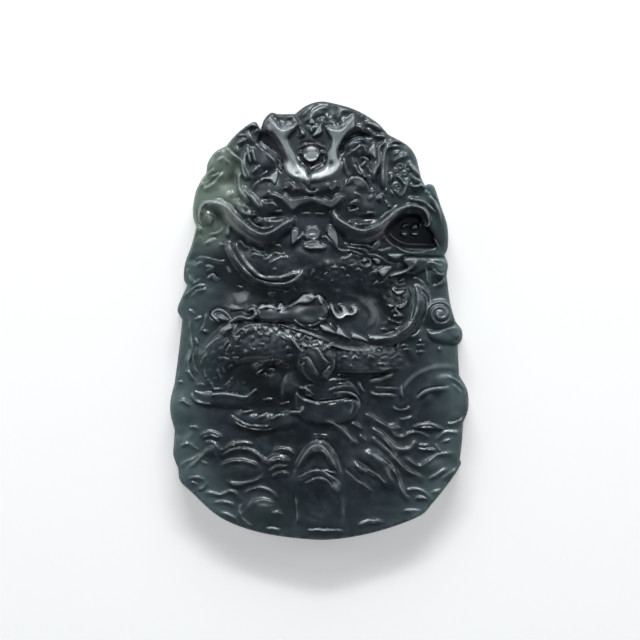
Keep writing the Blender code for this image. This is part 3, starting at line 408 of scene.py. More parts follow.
    def hollow(self, outline, lift, edge):
        """Cuts down to a level inside an outline, with walls that slope over edge."""
        part, depth, _ = self.within(outline)
        z = self.z[part]
        floor = np.minimum(self.base[part] + lift, z)
        self.z[part] = z + (floor - z) * ease(np.clip(depth / edge, 0, 1))

    def scales(self, route, up, down, pitch, height):
        """Overlapping scales over a band, each with a round free edge towards the route's end."""
        at = self.beside(route, up, down)
        rows = at.share * at.length / pitch
        lift = np.zeros_like(rows)
        for step_back in (0, 1):
            row = np.floor(rows) - step_back
            column = np.where(at.left, at.distance, -at.distance) / pitch - 0.5 * np.mod(row, 2)
            across = 2 * np.abs(column - np.round(column))
            front = 1 + 0.75 * np.sqrt(np.clip(1 - across**2, 0, 1))
            run = rows - row
            lift = np.where(run < front, run / front - 0.3 * across**2, lift)
        fade = faded(at.share, 0.08) * np.clip((1 - at.distance / at.reach) / 0.3, 0, 1)
        self.z[at.part] += height * fade * lift

    def softened(self, size):
        """The heights averaged over about the given size."""
        reach = math.ceil(2.5 * size / self.step)
        offsets = np.arange(-reach, reach + 1) * self.step
        weights = np.exp(-0.5 * (offsets / size) ** 2)
        weights /= weights.sum()
        z = self.z
        for _ in range(2):
            rows = len(z)
            padded = np.pad(z, [(reach, reach), (0, 0)], mode="edge")
            z = sum(w * padded[k:k + rows] for k, w in enumerate(weights)).T
        return z

    def round_edge(self, line):
        """Rolls the face over into the rim along the outline."""
        q = np.clip(1 - depth_inside(line, self.x, self.y) / EDGE_ROUND, 0, 1)
        self.z = RIM + (self.z - RIM) * np.sqrt(1 - q**2)


def each(method, rows, *shared, **named):
    """Makes one form for each row, which holds its own sizes and then its route, outline or centre."""
    for *sizes, place in rows:
        method(place, *sizes, *shared, **named)


def many(method, places, *sizes, **named):
    """Makes one form for each route, outline or centre, all with the same sizes."""
    for place in places:
        method(place, *sizes, **named)


def upper_clouds(stone):
    """Pale cloud at the upper left, with the flat ribbon that falls from it."""
    stone.swell((-14.4, 22.4), (2.8, 3.2), 0.9)
    ribbon = [(-12.9, 23.9), (-11.5, 22.6), (-11.3, 20), (-11.9, 18.4), (-13.4, 17.8), (-15.4, 18),
        (-15.2, 19), (-13.8, 20.4), (-13, 21.8)]
    stone.swell((-12.7, 20.6), (2.4, 3.4), -0.5, turn=20)
    # Painted shade over the pressed ribbon.
    stone.tint(ribbon, -0.45, 1.1)
    each(stone.crest, [
        (0.7, 0.5, [(-13.6, 24.8), (-12.9, 24.3), (-12.2, 23.6), (-11.5, 23), (-11.1, 22.2)]),
        (0.6, 0.6, [(-16.7, 18.3), (-15.7, 19), (-14.7, 19.8), (-13.9, 20.7), (-13.3, 21.4)]),
    ], 0.9)
    many(stone.crest, [
        [(-17.3, 17.9), (-17.1, 18.8), (-16.7, 19.6), (-16.3, 18.8), (-15.9, 19.9)],
        [(-15.9, 20.6), (-15.4, 21.2), (-14.9, 21.6)],
        [(-15.7, 20.4), (-14.8, 20.6), (-14, 21.1)],
        [(-14.5, 22.5), (-14.1, 22.9), (-13.7, 23.2), (-13.2, 22.7), (-12.6, 22.2)],
        [(-15.2, 23.1), (-14.7, 23.8), (-13.8, 24.2)],
    ], 0.4, 0.4, 0.7)
    stone.crest([(-11.7, 26.2), (-11, 26.4), (-10.3, 26.2)], 0.35, 0.5, 0.8)


def left_mane(stone):
    """Locks of hair that fall beside the left eye and gather in curls above the whisker."""
    each(stone.lock, [
        (0.7, 0.8, [(-10.2, 27.2), (-9.9, 26.5), (-9.6, 25.7), (-9.3, 25)]),
        (0.6, 0.6, [(-8.4, 27.4), (-9, 27.6), (-9.5, 27.8), (-10, 27.5), (-10.1, 26.9)]),
        (0.5, 0.5, [(-9.3, 26.4), (-9, 27), (-8.5, 27.2)]),
        (0.6, 0.6, [(-11.8, 25), (-11.3, 25.4), (-10.7, 25.6), (-10.3, 25.4)]),
        (0.4, 0.5, [(-11.9, 24.9), (-11.6, 24.4), (-11.4, 23.8)]),
        (0.6, 0.35, [(-10.3, 25), (-10.1, 24), (-9.9, 22.9), (-9.6, 22.1)]),
        (0.6, 0.4, [(-9.6, 24.7), (-9.4, 23.8), (-9.1, 22.8), (-8.8, 22.1)]),
        (0.6, 0.35, [(-11.2, 23.4), (-11, 22.4), (-10.9, 21.4), (-10.6, 20.5), (-10.1, 19.9)]),
        (0.6, 0.35, [(-10.4, 24.3), (-10.6, 23.2), (-10.5, 21.8), (-10.1, 20.8), (-9.8, 19.8)]),
        (0.5, 0.6, [(-9.6, 20.8), (-9.2, 21.4), (-8.8, 21.8), (-8.3, 21.8)]),
        (0.6, 0.5, [(-11.4, 21.4), (-11.4, 19.4), (-11.2, 18.4), (-10.7, 17.6), (-10.1, 16.9),
         (-9.5, 16.4)]),
        (0.5, 0.6, [(-10.9, 19.2), (-10.6, 18.6), (-10.1, 17.8), (-9.9, 17)]),
        (0.8, 0.6, [(-9.9, 18.4), (-9.6, 17.7), (-9.2, 17), (-8.6, 16.3), (-8, 15.8)]),
        (0.4, 0.5, [(-9.3, 17.9), (-9, 17.2), (-8.5, 16.6)]),
        (0.6, 0.7, [(-11.8, 17.4), (-11.4, 16.6), (-11, 15.8), (-10.4, 15.2), (-9.8, 15.5)]),
        (0.5, 0.5, [(-11.3, 16.9), (-10.6, 16.2), (-10, 15.7)]),
        (0.4, 0.7, [(-13.4, 17.5), (-12.8, 17.9), (-12.3, 18.4)]),
    ])
    # Painted highlights along the locks.
    many(stone.stroke, [
        [(-10.3, 24.9), (-10.1, 23.8), (-9.9, 22.8), (-9.6, 22.2)],
        [(-9.6, 24.7), (-9.4, 23.8), (-9.2, 22.9), (-8.9, 22.3)],
        [(-10.4, 24.2), (-10.65, 23.2), (-10.7, 22.2), (-10.8, 21.3), (-10.5, 20.5), (-10, 19.8)],
        [(-8.8, 22.1), (-9.1, 21.6), (-9.6, 20.9)],
        [(-9.9, 18.3), (-9.5, 17.5), (-9.1, 16.8), (-8.6, 16.2), (-8, 15.8)],
        [(-11.7, 17.5), (-11.7, 16.6), (-11.2, 15.9), (-10.5, 15.2), (-9.9, 15.6), (-10.6, 16.4),
         (-11.4, 17.1)],
        [(-10, 26.7), (-9.7, 26.1), (-9.3, 25.2)],
    ], 0.6, 0.2)
    stone.swell((-9.3, 15), (0.7, 0.5), 0.7)
    each(stone.swell, [((0.6, 0.6), 0.6, (-8.6, 14.1)), ((0.7, 0.4), 0.3, (-7.6, 14.1))], turn=-30)


def right_mane(stone):
    """Tighter locks and curls between the right eye and the edge."""
    each(stone.lock, [
        (0.4, 0.8, [(7.3, 28.1), (8, 27.9), (8.6, 27.4), (9, 26.8)]),
        (0.5, 0.5, [(7.5, 26.5), (8.3, 26.3), (9.1, 26.2), (9.7, 26.1)]),
        (0.3, 0.4, [(9.7, 26), (9.3, 25.3), (8.7, 24.8), (8.4, 24.2)]),
        (0.25, 0.5, [(10.2, 25.9), (11, 25.7), (12.2, 25.3)]),
        (0.3, 0.4, [(9.2, 24.8), (9.9, 25.2), (10.8, 25.4), (11.9, 25.3)]),
        (0.25, 0.4, [(9.5, 24.4), (10.2, 24.7), (11, 24.8), (12, 24.6)]),
        (0.6, 0.3, [(8.5, 25), (8.45, 23.8), (8.5, 22.4), (8.2, 21.5), (7.8, 20.7), (7.75, 20.1),
         (8.1, 19.6)]),
        (0.4, 0.3, [(8.25, 22.6), (8, 21.8), (7.6, 21), (7.5, 20.3)]),
        (0.8, 0.6, [(10.4, 25.2), (9.7, 24.6), (9.3, 23.6), (9.15, 22.2), (9.1, 20.6), (9.1, 19.4),
         (9.3, 18.4)]),
        (0.4, 0.4, [(10.2, 22.3), (10.8, 22.8), (11.4, 23.2), (12.1, 23.9)]),
        (0.25, 0.4, [(10.3, 23.4), (11, 23.8), (11.6, 24.2)]),
        (0.25, 0.4, [(11, 22.6), (11.9, 23.2), (12.8, 23.8)]),
        (0.6, 0.4, [(12.6, 22.7), (13.2, 21.9), (14, 21.1), (14.9, 20)]),
        (0.4, 0.3, [(12.9, 21.9), (13.6, 21), (14.4, 20.2)]),
        (0.7, 0.5, [(13.1, 21), (13.5, 20.3), (14.2, 19.9), (14.8, 19.7)]),
        (0.9, 0.3, [(12.9, 19.4), (13.4, 19.05), (14.1, 19.1), (14.6, 19.2), (15.1, 18.6)]),
        (0.6, 0.3, [(10.8, 20.7), (11.4, 20.3), (11.9, 19.7), (12.2, 18.9)]),
        (0.6, 0.5, [(12.7, 20.3), (12.5, 19.5), (12.3, 18.6), (11.9, 17.8), (11.4, 17.2)]),
        (1.2, 0.35, [(10.25, 18.5), (10.4, 18.1), (10.6, 17.7)]),
        (1.1, 0.35, [(8.75, 17.7), (8.8, 17.2), (8.9, 16.8)]),
        (0.6, 0.3, [(9.3, 17.9), (8.8, 17.6), (8.3, 17.2), (8.1, 16.9)]),
        (0.6, 0.3, [(7.3, 17.9), (7.6, 18.4), (7.9, 18.2)]),
        (0.4, 0.4, [(10.7, 18.5), (11.2, 18), (11.5, 17.4)]),
        (0.4, 0.4, [(9.7, 19), (9.5, 18.4), (9.6, 17.9)]),
        (0.3, 0.3, [(7.9, 18.1), (7.4, 17.5), (7.1, 16.9)]),
        (0.5, 0.3, [(9.3, 17), (9.6, 16.8), (9.7, 16.4)]),
        (0.6, 0.3, [(9.6, 16.2), (9.9, 16.3), (10.2, 16)]),
        (0.4, 0.4, [(9.9, 21), (10.3, 20.6), (10.2, 20), (9.8, 19.5)]),
        (0.4, 0.3, [(12.4, 17.2), (13.4, 17.3), (14.4, 17.1), (15.4, 16.6)]),
    ])
    for x, y, size in ((11.5, 21.9, 0.36), (12.6, 21.7, 0.36), (12.1, 20.9, 0.3), (11.1, 18.9, 0.62),
            (11.2, 18.9, 0.3), (10.9, 21.3, 0.25)):
        stone.bead(arc((x, y), (size, size), range(-2, 7)), 0.25, 0.2, taper=0.05)
    # Painted shade among the curls.
    stone.tint([(12.3, 19.2), (13.4, 18.8), (14.3, 18.6), (13.8, 17.8), (12.4, 17.6)], -0.6, 0.4)


def crown(stone):
    """Curls on top of the head, with two small tusks under them."""
    curls = [
        (0.35, [(-2.6, 28.8), (-2.2, 29.3), (-1.6, 29.9), (-0.8, 30.5)]),
        (0.45, [(-1.95, 27.8), (-1.9, 28.3), (-1.5, 29), (-0.9, 29.6), (0, 30.1), (0.8, 30.3), (1.6, 30.4)]),
        (0.4, [(-1.65, 28), (-1.5, 28.5), (-1.1, 28.9), (-0.5, 29.3), (0.3, 29.6), (1, 29.7)]),
        (0.45, [(-2, 27.7), (-1.4, 27.45), (-0.6, 27.5), (0.1, 27.7), (0.45, 28.2), (0.1, 28.6),
         (-0.3, 28.8)]),
        (0.35, [(-0.4, 28.9), (0, 28.4), (0.5, 28.75), (0.9, 28.9)]),
        (0.35, [(1, 29.6), (1.1, 29.1), (1.4, 28.7), (1.8, 29), (1.6, 29.5)]),
        (0.5, [(0.9, 27.7), (1.4, 28.1), (2, 28.15), (2.3, 27.7), (2.8, 27.5), (3.2, 27.8), (3.4, 28.3),
         (3.6, 29.1)]),
        (0.35, [(2.4, 28.2), (2.7, 28.9), (2.9, 29.5), (3.3, 29.9), (4, 29.9), (4.6, 29.6)]),
        (0.5, [(-5, 29.2), (-4.4, 28.9), (-3.9, 29), (-3.4, 28.4), (-3, 27.9), (-2.4, 27.8)]),
        (0.5, [(-5.7, 28.6), (-5.4, 28), (-5, 27.5), (-4.6, 28), (-4.4, 28.6)]),
        (0.4, [(-7.6, 27.1), (-7.6, 28), (-7.4, 28.8)]),
        (0.3, [(-6.3, 28.9), (-6.2, 28.2), (-6.1, 27.4)]),
        (0.5, [(5, 27.7), (5.9, 27.5), (6.4, 26.6)]),
        (0.4, [(5.9, 28.6), (6.1, 29.3), (5.7, 29.8)]),
        (0.5, [(6.2, 28.2), (7.4, 28), (8.4, 27.4), (8.9, 26.8)]),
        (0.4, [(6.6, 27.4), (7.2, 27), (7.6, 26.4)]),
        (0.4, [(-4.6, 27.6), (-3.8, 28.2), (-3.5, 27.6)]),
        (0.3, [(-8, 27.6), (-7.2, 27.2), (-6.6, 27.8)]),
    ]
    # Each curl with a painted highlight along it.
    for height, route in curls:
        stone.lock(route, 0.6 * height, 0.6)
        stone.stroke(route, 0.35, 0.2)
    # Small petals with painted highlights.
    stone.pale([(-1.5, 27.9), (-1.1, 28.7), (-0.6, 28)], 0.5, 0.25, 0.8, 0.15)
    many(stone.pale, [
        [(-2.8, 27.4), (-2.35, 27), (-2, 26.6), (-2.2, 26.15), (-2.8, 25.95), (-3.05, 26.2), (-2.7, 26.7)],
        [(0.2, 27.5), (0.45, 26.8), (0, 26.35), (-0.8, 26.05), (-0.95, 26.3), (-0.5, 27), (-0.2, 27.35)],
        [(-1.4, 27), (-1.1, 26.6), (-0.9, 27), (-1.1, 27.4)],
    ], 0.9, 0.25, 0.9, 0.2)


def brows(stone):
    """Deep eye sockets with layered lids, round eyes and the folds beside them."""
    left_socket = [(-8.4, 26.9), (-7.2, 26.7), (-6.2, 25.8), (-5.3, 24.2), (-4.9, 22.8), (-5, 21),
        (-5.9, 21.3), (-6.4, 22.4), (-7.4, 23.6), (-8.9, 24.9), (-9, 25.8)]
    right_socket = [(3, 25.4), (4, 26.6), (5.4, 27.2), (7.2, 26.7), (7.5, 25.9), (6.6, 25.9), (5, 25.7),
        (3.9, 24.9), (3.5, 23.8), (2.8, 23.6)]
    many(stone.hollow, [left_socket, right_socket], -0.9, 0.6)
    # Painted shade in the eye sockets.
    many(stone.tint, (left_socket, right_socket), -0.8, 0.8)
    stone.hollow([(4.6, 23.4), (6, 24), (7.4, 24), (7.9, 22), (7.4, 20.4), (6.2, 20.7), (5.2, 21.6)],
        -0.4, 0.7)
    stone.swell((-7.2, 22.6), (1.9, 1.8), 0.3)
    # Painted shade over both eyes.
    each(stone.tint, [
        (-0.7, 0.7, [(-8.7, 23.7), (-7.2, 23.9), (-6.2, 22.8), (-5.9, 21.6), (-6.6, 20.9), (-7.9, 20.8),
         (-8.8, 21.8)]),
        (-0.5, 0.8, [(4.4, 23.2), (5.6, 23.8), (7.2, 23.6), (7.8, 21.9), (7.2, 20.2), (6, 20.4),
         (4.9, 21.4)]),
    ])
    # Painted highlights along the lids and locks.
    each(stone.stroke, [
        (0.3, 0.5, [(-9.2, 25.6), (-8.3, 25.1), (-7.4, 24.5), (-6.4, 23.6), (-5.6, 22.5)]),
        (0.25, 0.5, [(4, 24.2), (4.8, 24.8), (5.8, 25.2), (6.8, 25)]),
        (0.4, 0.5, [(9.6, 24.4), (9.5, 22.4), (9.4, 20.8), (9.2, 18.6)]),
        (0.3, 0.4, [(8.2, 25.2), (8.3, 23.4), (7.9, 21.4), (7.9, 19.9)]),
    ])
    stone.swell((6.6, 21.6), (1.2, 1.5), 0.3, turn=-20)
    each(stone.crest, [
        (0.6, [(-9, 25.65), (-8.3, 25.25), (-7.6, 24.8), (-7, 24.3), (-6.5, 23.85), (-6.1, 23.5)]),
        (0.35, [(-9, 25.3), (-8.3, 24.9), (-7.7, 24.5), (-7.2, 24.1)]),
        (0.6, [(-8.1, 24.15), (-7.4, 23.75), (-6.8, 23.2), (-6.3, 22.8), (-5.6, 22.5)]),
        (0.4, [(-8.6, 20.2), (-8.1, 20.7), (-7.6, 21.1), (-7.2, 21.2)]),
        (0.4, [(-5.7, 22.6), (-5.3, 22.2), (-5.4, 21.6), (-5.7, 21.1)]),
        (0.6, [(3.9, 24.2), (4.2, 24.9), (4.8, 25.4), (5.6, 25.7), (6.4, 25.7), (6.9, 25.1)]),
        (0.4, [(4.2, 24.4), (4.6, 24.9), (5.3, 25.25), (6.1, 25.3)]),
        (0.35, [(4.3, 25.4), (5, 25.95), (5.9, 26.05), (6.8, 25.7)]),
        (0.5, [(4, 24.1), (4.8, 24.2), (5.4, 24.6), (6, 24.9), (6.5, 24.8), (6.9, 24.4)]),
        (0.3, [(4, 23.4), (4.4, 23.8), (5.1, 24)]),
        (0.6, [(5.8, 22.9), (6.3, 23.2), (6.9, 22.9), (7, 22.4)]),
        (0.8, [(5.9, 21.7), (6.2, 22.3), (6.7, 22.7)]),
        (0.3, [(6.9, 22.3), (7.1, 21.6), (7.4, 20.7)]),
        (0.5, [(6, 24.8), (6.5, 24.4), (6.9, 23.7), (7.2, 24.3), (7.7, 25.2)]),
        (0.4, [(5.25, 22.4), (5.3, 21.6), (5.7, 21), (6.2, 20.5)]),
        (0.4, [(3.15, 23.4), (3.2, 22.9), (2.9, 22.5)]),
        (0.35, [(3.5, 23.4), (3.6, 22.4), (3.8, 21.2), (3.9, 20.4)]),
    ], 0.35, 0.6)
    # Folds with painted highlights.
    many(stone.pale, [
        [(-8.3, 20.3), (-7.4, 20.35), (-6.7, 20.9), (-6, 21.3), (-5.85, 20.4), (-6.3, 19.3), (-6.9, 19.8),
         (-7.6, 20), (-8.4, 19.6)],
        [(6.9, 23.7), (7.2, 24.5), (7.8, 25.3), (8.05, 24.4), (8.05, 22.9), (7.5, 23.4)],
        [(3.9, 19.2), (4.1, 19.9), (4.6, 20.6), (4.9, 20.2), (4.5, 19.6)],
    ], 0.5, 0.35, 0.8, 0.2)
    stone.swell((6.5, 20.4), (0.4, 0.3), 0.4, turn=-30)


def horns(stone):
    """Two forked horns that meet over the nose, with the jewel in its lidded seat between them."""
    seat = [(-4.4, 26.4), (-3.2, 27), (-1.2, 26.3), (0.6, 26.8), (1.6, 26.2), (1.7, 25.3), (1, 24),
        (0.9, 22.6), (-0.3, 21.4), (-1.2, 20.9), (-2.2, 21.9), (-3.2, 23.1), (-4.2, 24.9)]
    stone.hollow(seat, 0.2, 0.7)
    # Painted shade in the seat.
    stone.tint(seat, -0.9, 0.7)
    left_horn = [(-7.2, 27), (-7.3, 28), (-7, 28.8), (-6.4, 28.2), (-5.9, 27.65), (-5.3, 27.25),
        (-4.6, 27.35), (-4, 27.6), (-3.4, 27.7), (-3.6, 27.1), (-4.3, 26.6), (-4.8, 25.9), (-4.6, 25.1),
        (-3.7, 23.4), (-2.8, 22.1), (-1.9, 21.4), (-1.5, 19.4), (-2.6, 20), (-3.8, 20.4), (-4.6, 21.1),
        (-4.75, 21.9), (-4.5, 22.7), (-5, 24.2), (-5.7, 25.6), (-6.5, 26.7)]
    right_horn = [(1.1, 27.35), (2.9, 27.3), (3.9, 28.2), (4.85, 29), (4.95, 27.5), (4.2, 27), (3.4, 26.1),
        (2.8, 25), (2.5, 23.9), (2.65, 22.9), (3, 22.2), (2.7, 21.4), (1.9, 20.65), (0.9, 20.25),
        (-1.2, 19.7), (-1.2, 20.8), (0.1, 21.3), (0.9, 21.9), (1.15, 22.8), (1.15, 23.6), (1.6, 24.4),
        (1.9, 25.2), (1.8, 26)]
    # Each horn is raised, edged and given a painted highlight.
    for outline in (left_horn, right_horn):
        stone.plate(outline, 1.3, 1, 0.35, tilt=-0.06)
        stone.bead(outline[1:] + outline[:2], 0.5, 0.3, taper=0.02)
        stone.tint(outline, 0.32, 0.3)
    # Painted highlights on the lower ends of the horns.
    each(stone.tint, [
        (0.3, 0.4, [(-4.7, 22.6), (-3.2, 22.2), (-2, 21.2), (-1.6, 19.6), (-2.6, 20), (-3.8, 20.4),
         (-4.6, 21.1)]),
        (0.3, 0.4, [(-1.1, 20.8), (0.1, 21.2), (0.9, 21.9), (1.3, 22.8), (3, 22.4), (2.7, 21.4), (1.9, 20.7),
         (0.9, 20.3), (-1.1, 19.8)]),
        (0.4, 0.5, [(1.3, 22.6), (1.7, 24.4), (2.4, 25.6), (2.9, 25.2), (2.6, 23.6), (2.7, 22.6)]),
    ])
    # Painted highlights where the horns meet over the nose, and along their edges.
    many(stone.stroke, [
        [(-4.6, 23), (-4.4, 21.9), (-4.1, 21.2), (-3.3, 20.6), (-2.4, 20.3), (-1.7, 19.9)],
        [(-1, 20.1), (0.4, 20.5), (1.6, 20.9), (2.4, 21.6), (2.7, 22.2), (2.4, 23.2)],
    ], 1.9, 0.7)
    many(stone.stroke, [
        [(-7.1, 28.3), (-7.1, 27.2), (-6.4, 26.7), (-5.6, 25.7), (-5, 24.6), (-4.6, 23.4), (-4.5, 22.4)],
        [(-3.6, 27.4), (-4.2, 26.8), (-4.7, 26), (-4.5, 25), (-3.8, 23.7), (-3, 22.5)],
        [(4.8, 28.7), (4.8, 27.6), (4.1, 27.1), (3.4, 26.3), (2.8, 25.2), (2.45, 24)],
        [(1.2, 27.2), (1.5, 26.7), (1.9, 26), (2, 25.3), (1.7, 24.5)],
    ], 1.2, 0.2)
    each(stone.swell, [
        ((5.2, 3.2), 0.75, (-1, 19.4)),
        ((0.45, 0.6), -0.7, (1.65, 22.2)),
        ((0.35, 0.3), -0.4, (-3.2, 20.75)),
    ])
    stone.dome((-1.15, 23.65), (1.25, 1.2), 1, 0.25, tilt=-0.04)
    jewel = arc((-1.15, 23.65), (1.1, 1.05), range(8))
    # A painted highlight on the jewel.
    stone.tint(jewel, 0.7, 0.25)
    stone.bead([jewel[k % 8] for k in range(4, 9)], 0.25, 0.25)
    many(stone.crest, [
        [(-3.4, 24.1), (-2.6, 24.7), (-1.8, 25.05), (-0.9, 25.1), (0, 25), (0.6, 24.6), (1.2, 24.4)],
        [(-3.1, 23.4), (-2.8, 22.8), (-2.3, 22.3), (-1.8, 21.8), (-1.2, 20.9)],
        [(-1.2, 20.9), (-0.7, 21.4), (0.1, 21.9), (0.6, 22.4), (0.8, 23.2)],
    ], 0.4, 0.35, 0.45)
    many(stone.swell, [(-2.6, 23.8), (0.45, 23.8)], (0.35, 0.35), 0.5)


def muzzle(stone):
    """Cheeks, nostrils, the banded upper lip and the folds under it."""
    stone.swell((-1, 18.4), (6.2, 4.2), 0.9)
    # Painted shade under the horns.
    stone.tint([(-5.2, 20.2), (-3, 20.2), (-1.2, 19.6), (0.8, 20.2), (3.2, 20.6), (3.4, 18.6), (1.4, 17.4),
        (-3, 17.4), (-5.6, 18.2)], -0.5, 0.9)
    each(stone.swell, [
        ((3.2, 3.4), 0.5, (-7, 17.4)),
        ((3.2, 3.4), 0.5, (5.3, 17.2)),
        ((1.3, 1.1), 0.2, (-4.1, 18.9)),
        ((1.3, 1.1), 0.2, (1.9, 18.9)),
        ((1.3, 1), 0.2, (-1.2, 18.9)),
    ])
    lip = [(-7.1, 17.9), (-6.2, 17.9), (-5.5, 17.5), (-4.9, 17.9), (-4.1, 17.2), (-3.2, 17.2), (-1.1, 17.45),
        (0.4, 17.1), (1.6, 17), (2.6, 17.8), (3.4, 17.6), (3, 16.9), (1.8, 16), (1.1, 16.1), (0, 16.5),
        (-1, 16.9), (-2, 16.6), (-2.8, 16.3), (-3.8, 15.6), (-4.6, 16.4), (-5.6, 17.3)]
    # The lip, raised, with a painted highlight.
    stone.pale(lip, 0.7, 0.3, 0.35, 0.2, tilt=-0.15)
    stone.bead(lip + lip[:1], 0.3, 0.25, taper=0.02)
    each(stone.crest, [
        (0.4, [(-5, 19.5), (-4.5, 19.65), (-4, 19.5), (-3.5, 18.9), (-3.1, 18.3)]),
        (0.8, [(-2, 18.7), (-1.6, 18.35), (-1.1, 18.2), (-0.5, 18.3), (-0.1, 18.7)]),
        (0.35, [(0.5, 17.8), (1, 17.3), (1.7, 17.1), (2.3, 17.4), (2.8, 17.9)]),
        (0.5, [(-7.3, 16.6), (-6.7, 16.7), (-6.3, 16.5), (-5.8, 16)]),
        (0.45, [(-6.3, 15.4), (-5.8, 15.55), (-5.2, 15.4)]),
        (0.5, [(4.1, 16.3), (4.7, 16.85), (5.6, 17)]),
        (0.45, [(4.1, 15.4), (4.9, 15.7), (5.6, 15.8)]),
        (0.45, [(5, 18.05), (5.5, 18), (5.9, 17.7)]),
        (0.6, [(6.7, 15.2), (7.3, 15.35), (7.9, 15.3)]),
        (0.4, [(4.8, 13.6), (5.7, 13.65), (6.6, 13.8), (7.5, 13.75)]),
        (0.4, [(-2.6, 15.1), (-2, 15.25), (-1.4, 15.15), (-1.1, 15.05)]),
        (0.4, [(-0.7, 15.1), (-0.2, 15.2), (0.4, 15.15), (0.9, 15.05)]),
    ], 0.35, 0.6)
    each(stone.crest, [
        (0.6, 0.4, 1.5, [(-9.6, 18), (-9.3, 19.2), (-8.4, 20), (-7.4, 20.3), (-6.6, 20)]),
        (0.8, 0.4, 1.6, [(3.8, 19.2), (4.3, 20.1), (5.2, 20.35), (6.1, 20.05), (6.9, 19), (7.2, 17.8)]),
    ])
    # Painted highlights below the cheek arcs.
    each(stone.tint, [
        (0.3, 0.9, [(-9.5, 18.3), (-9.1, 19.4), (-8.2, 20.1), (-7.2, 20.2), (-6.6, 19.8), (-7.4, 18.6),
         (-8.6, 17.7)]),
        (0.35, 0.6, [(3.9, 19.3), (4.6, 20.2), (5.6, 20.3), (6.6, 19.5), (7.2, 18), (6.4, 18.4),
         (5.2, 18.9)]),
    ])
    many(stone.swell, [(-7.3, 18.2), (-4.9, 18.8), (-3.6, 18.5), (1.7, 18.6), (2.7, 19.1), (2.4, 19.7),
        (4.4, 13.9)], (0.35, 0.3), 0.3)
    each(stone.swell, [
        ((1.1, 0.6), (-7.4, 17.2)),
        ((2, 0.8), (-6.4, 14.8)),
        ((2.4, 0.9), (6.4, 14.5)),
        ((0.9, 0.4), (4.8, 16.1)),
    ], -0.6)


def mouth(stone):
    """The open mouth with its teeth, and the chin."""
    gape = [(-4.4, 13.2), (-2.8, 14.2), (-1, 14.5), (1, 14.2), (2.7, 13.6), (3.1, 11.6), (2.2, 10),
        (-1, 9.8), (-3.8, 10.2), (-4.6, 11.6)]
    stone.hollow(gape, 0.4, 1)
    stone.swell((-0.9, 9), (3.8, 2.2), 0.3)
    front = [(-2, 12.4), (-1.6, 13.1), (-0.4, 13.15), (0.1, 12.5), (0, 11.9), (-0.3, 11.5), (-1.7, 11.5),
        (-2.1, 12)]
    lower = [(-2, 11.2), (-0.2, 11.3), (0.1, 10.8), (0.9, 10.3), (-0.8, 10.15), (-2.2, 10.4)]
    left_fang = [(-4, 12.4), (-3.6, 12.9), (-3.1, 12.7), (-3, 11.8), (-3.4, 11.1), (-3.9, 10.8)]
    right_fang = [(1.1, 12.4), (1.4, 13.3), (1.9, 13.2), (2.5, 12.3), (2.7, 11), (2.5, 10.3), (1.9, 11.2)]
    # Each tooth is raised with a painted highlight.
    for outline in (front, lower, left_fang, right_fang):
        stone.pale(outline, 0.7, 0.25, 0.42, 0.2, tilt=-0.1)
        stone.bead(outline + outline[:1], 0.3, 0.22, taper=0.02)
    each(stone.crest, [
        (0.6, [(-3.4, 11), (-3, 11.6), (-2.6, 12), (-2.4, 12.4), (-2.2, 11.8), (-2, 11.4)]),
        (0.6, [(0.3, 12.5), (0.4, 11.8), (0.9, 11.9), (1.3, 11.6), (1.9, 10.9), (2.4, 10.3), (3, 9.9)]),
        (0.3, [(-1.9, 12.3), (-1.6, 12.9), (-1.1, 13.15), (-0.5, 13.1), (0.1, 12.4)]),
        (0.25, [(-1.6, 12), (-1, 12.15), (-0.3, 12.1)]),
        (0.25, [(-1.5, 11.4), (-0.9, 11.45), (-0.2, 11.5)]),
        (0.4, [(-2.3, 10.3), (-1.2, 10.25), (0, 10.2), (1, 10.3)]),
    ], 0.3, 0.5)


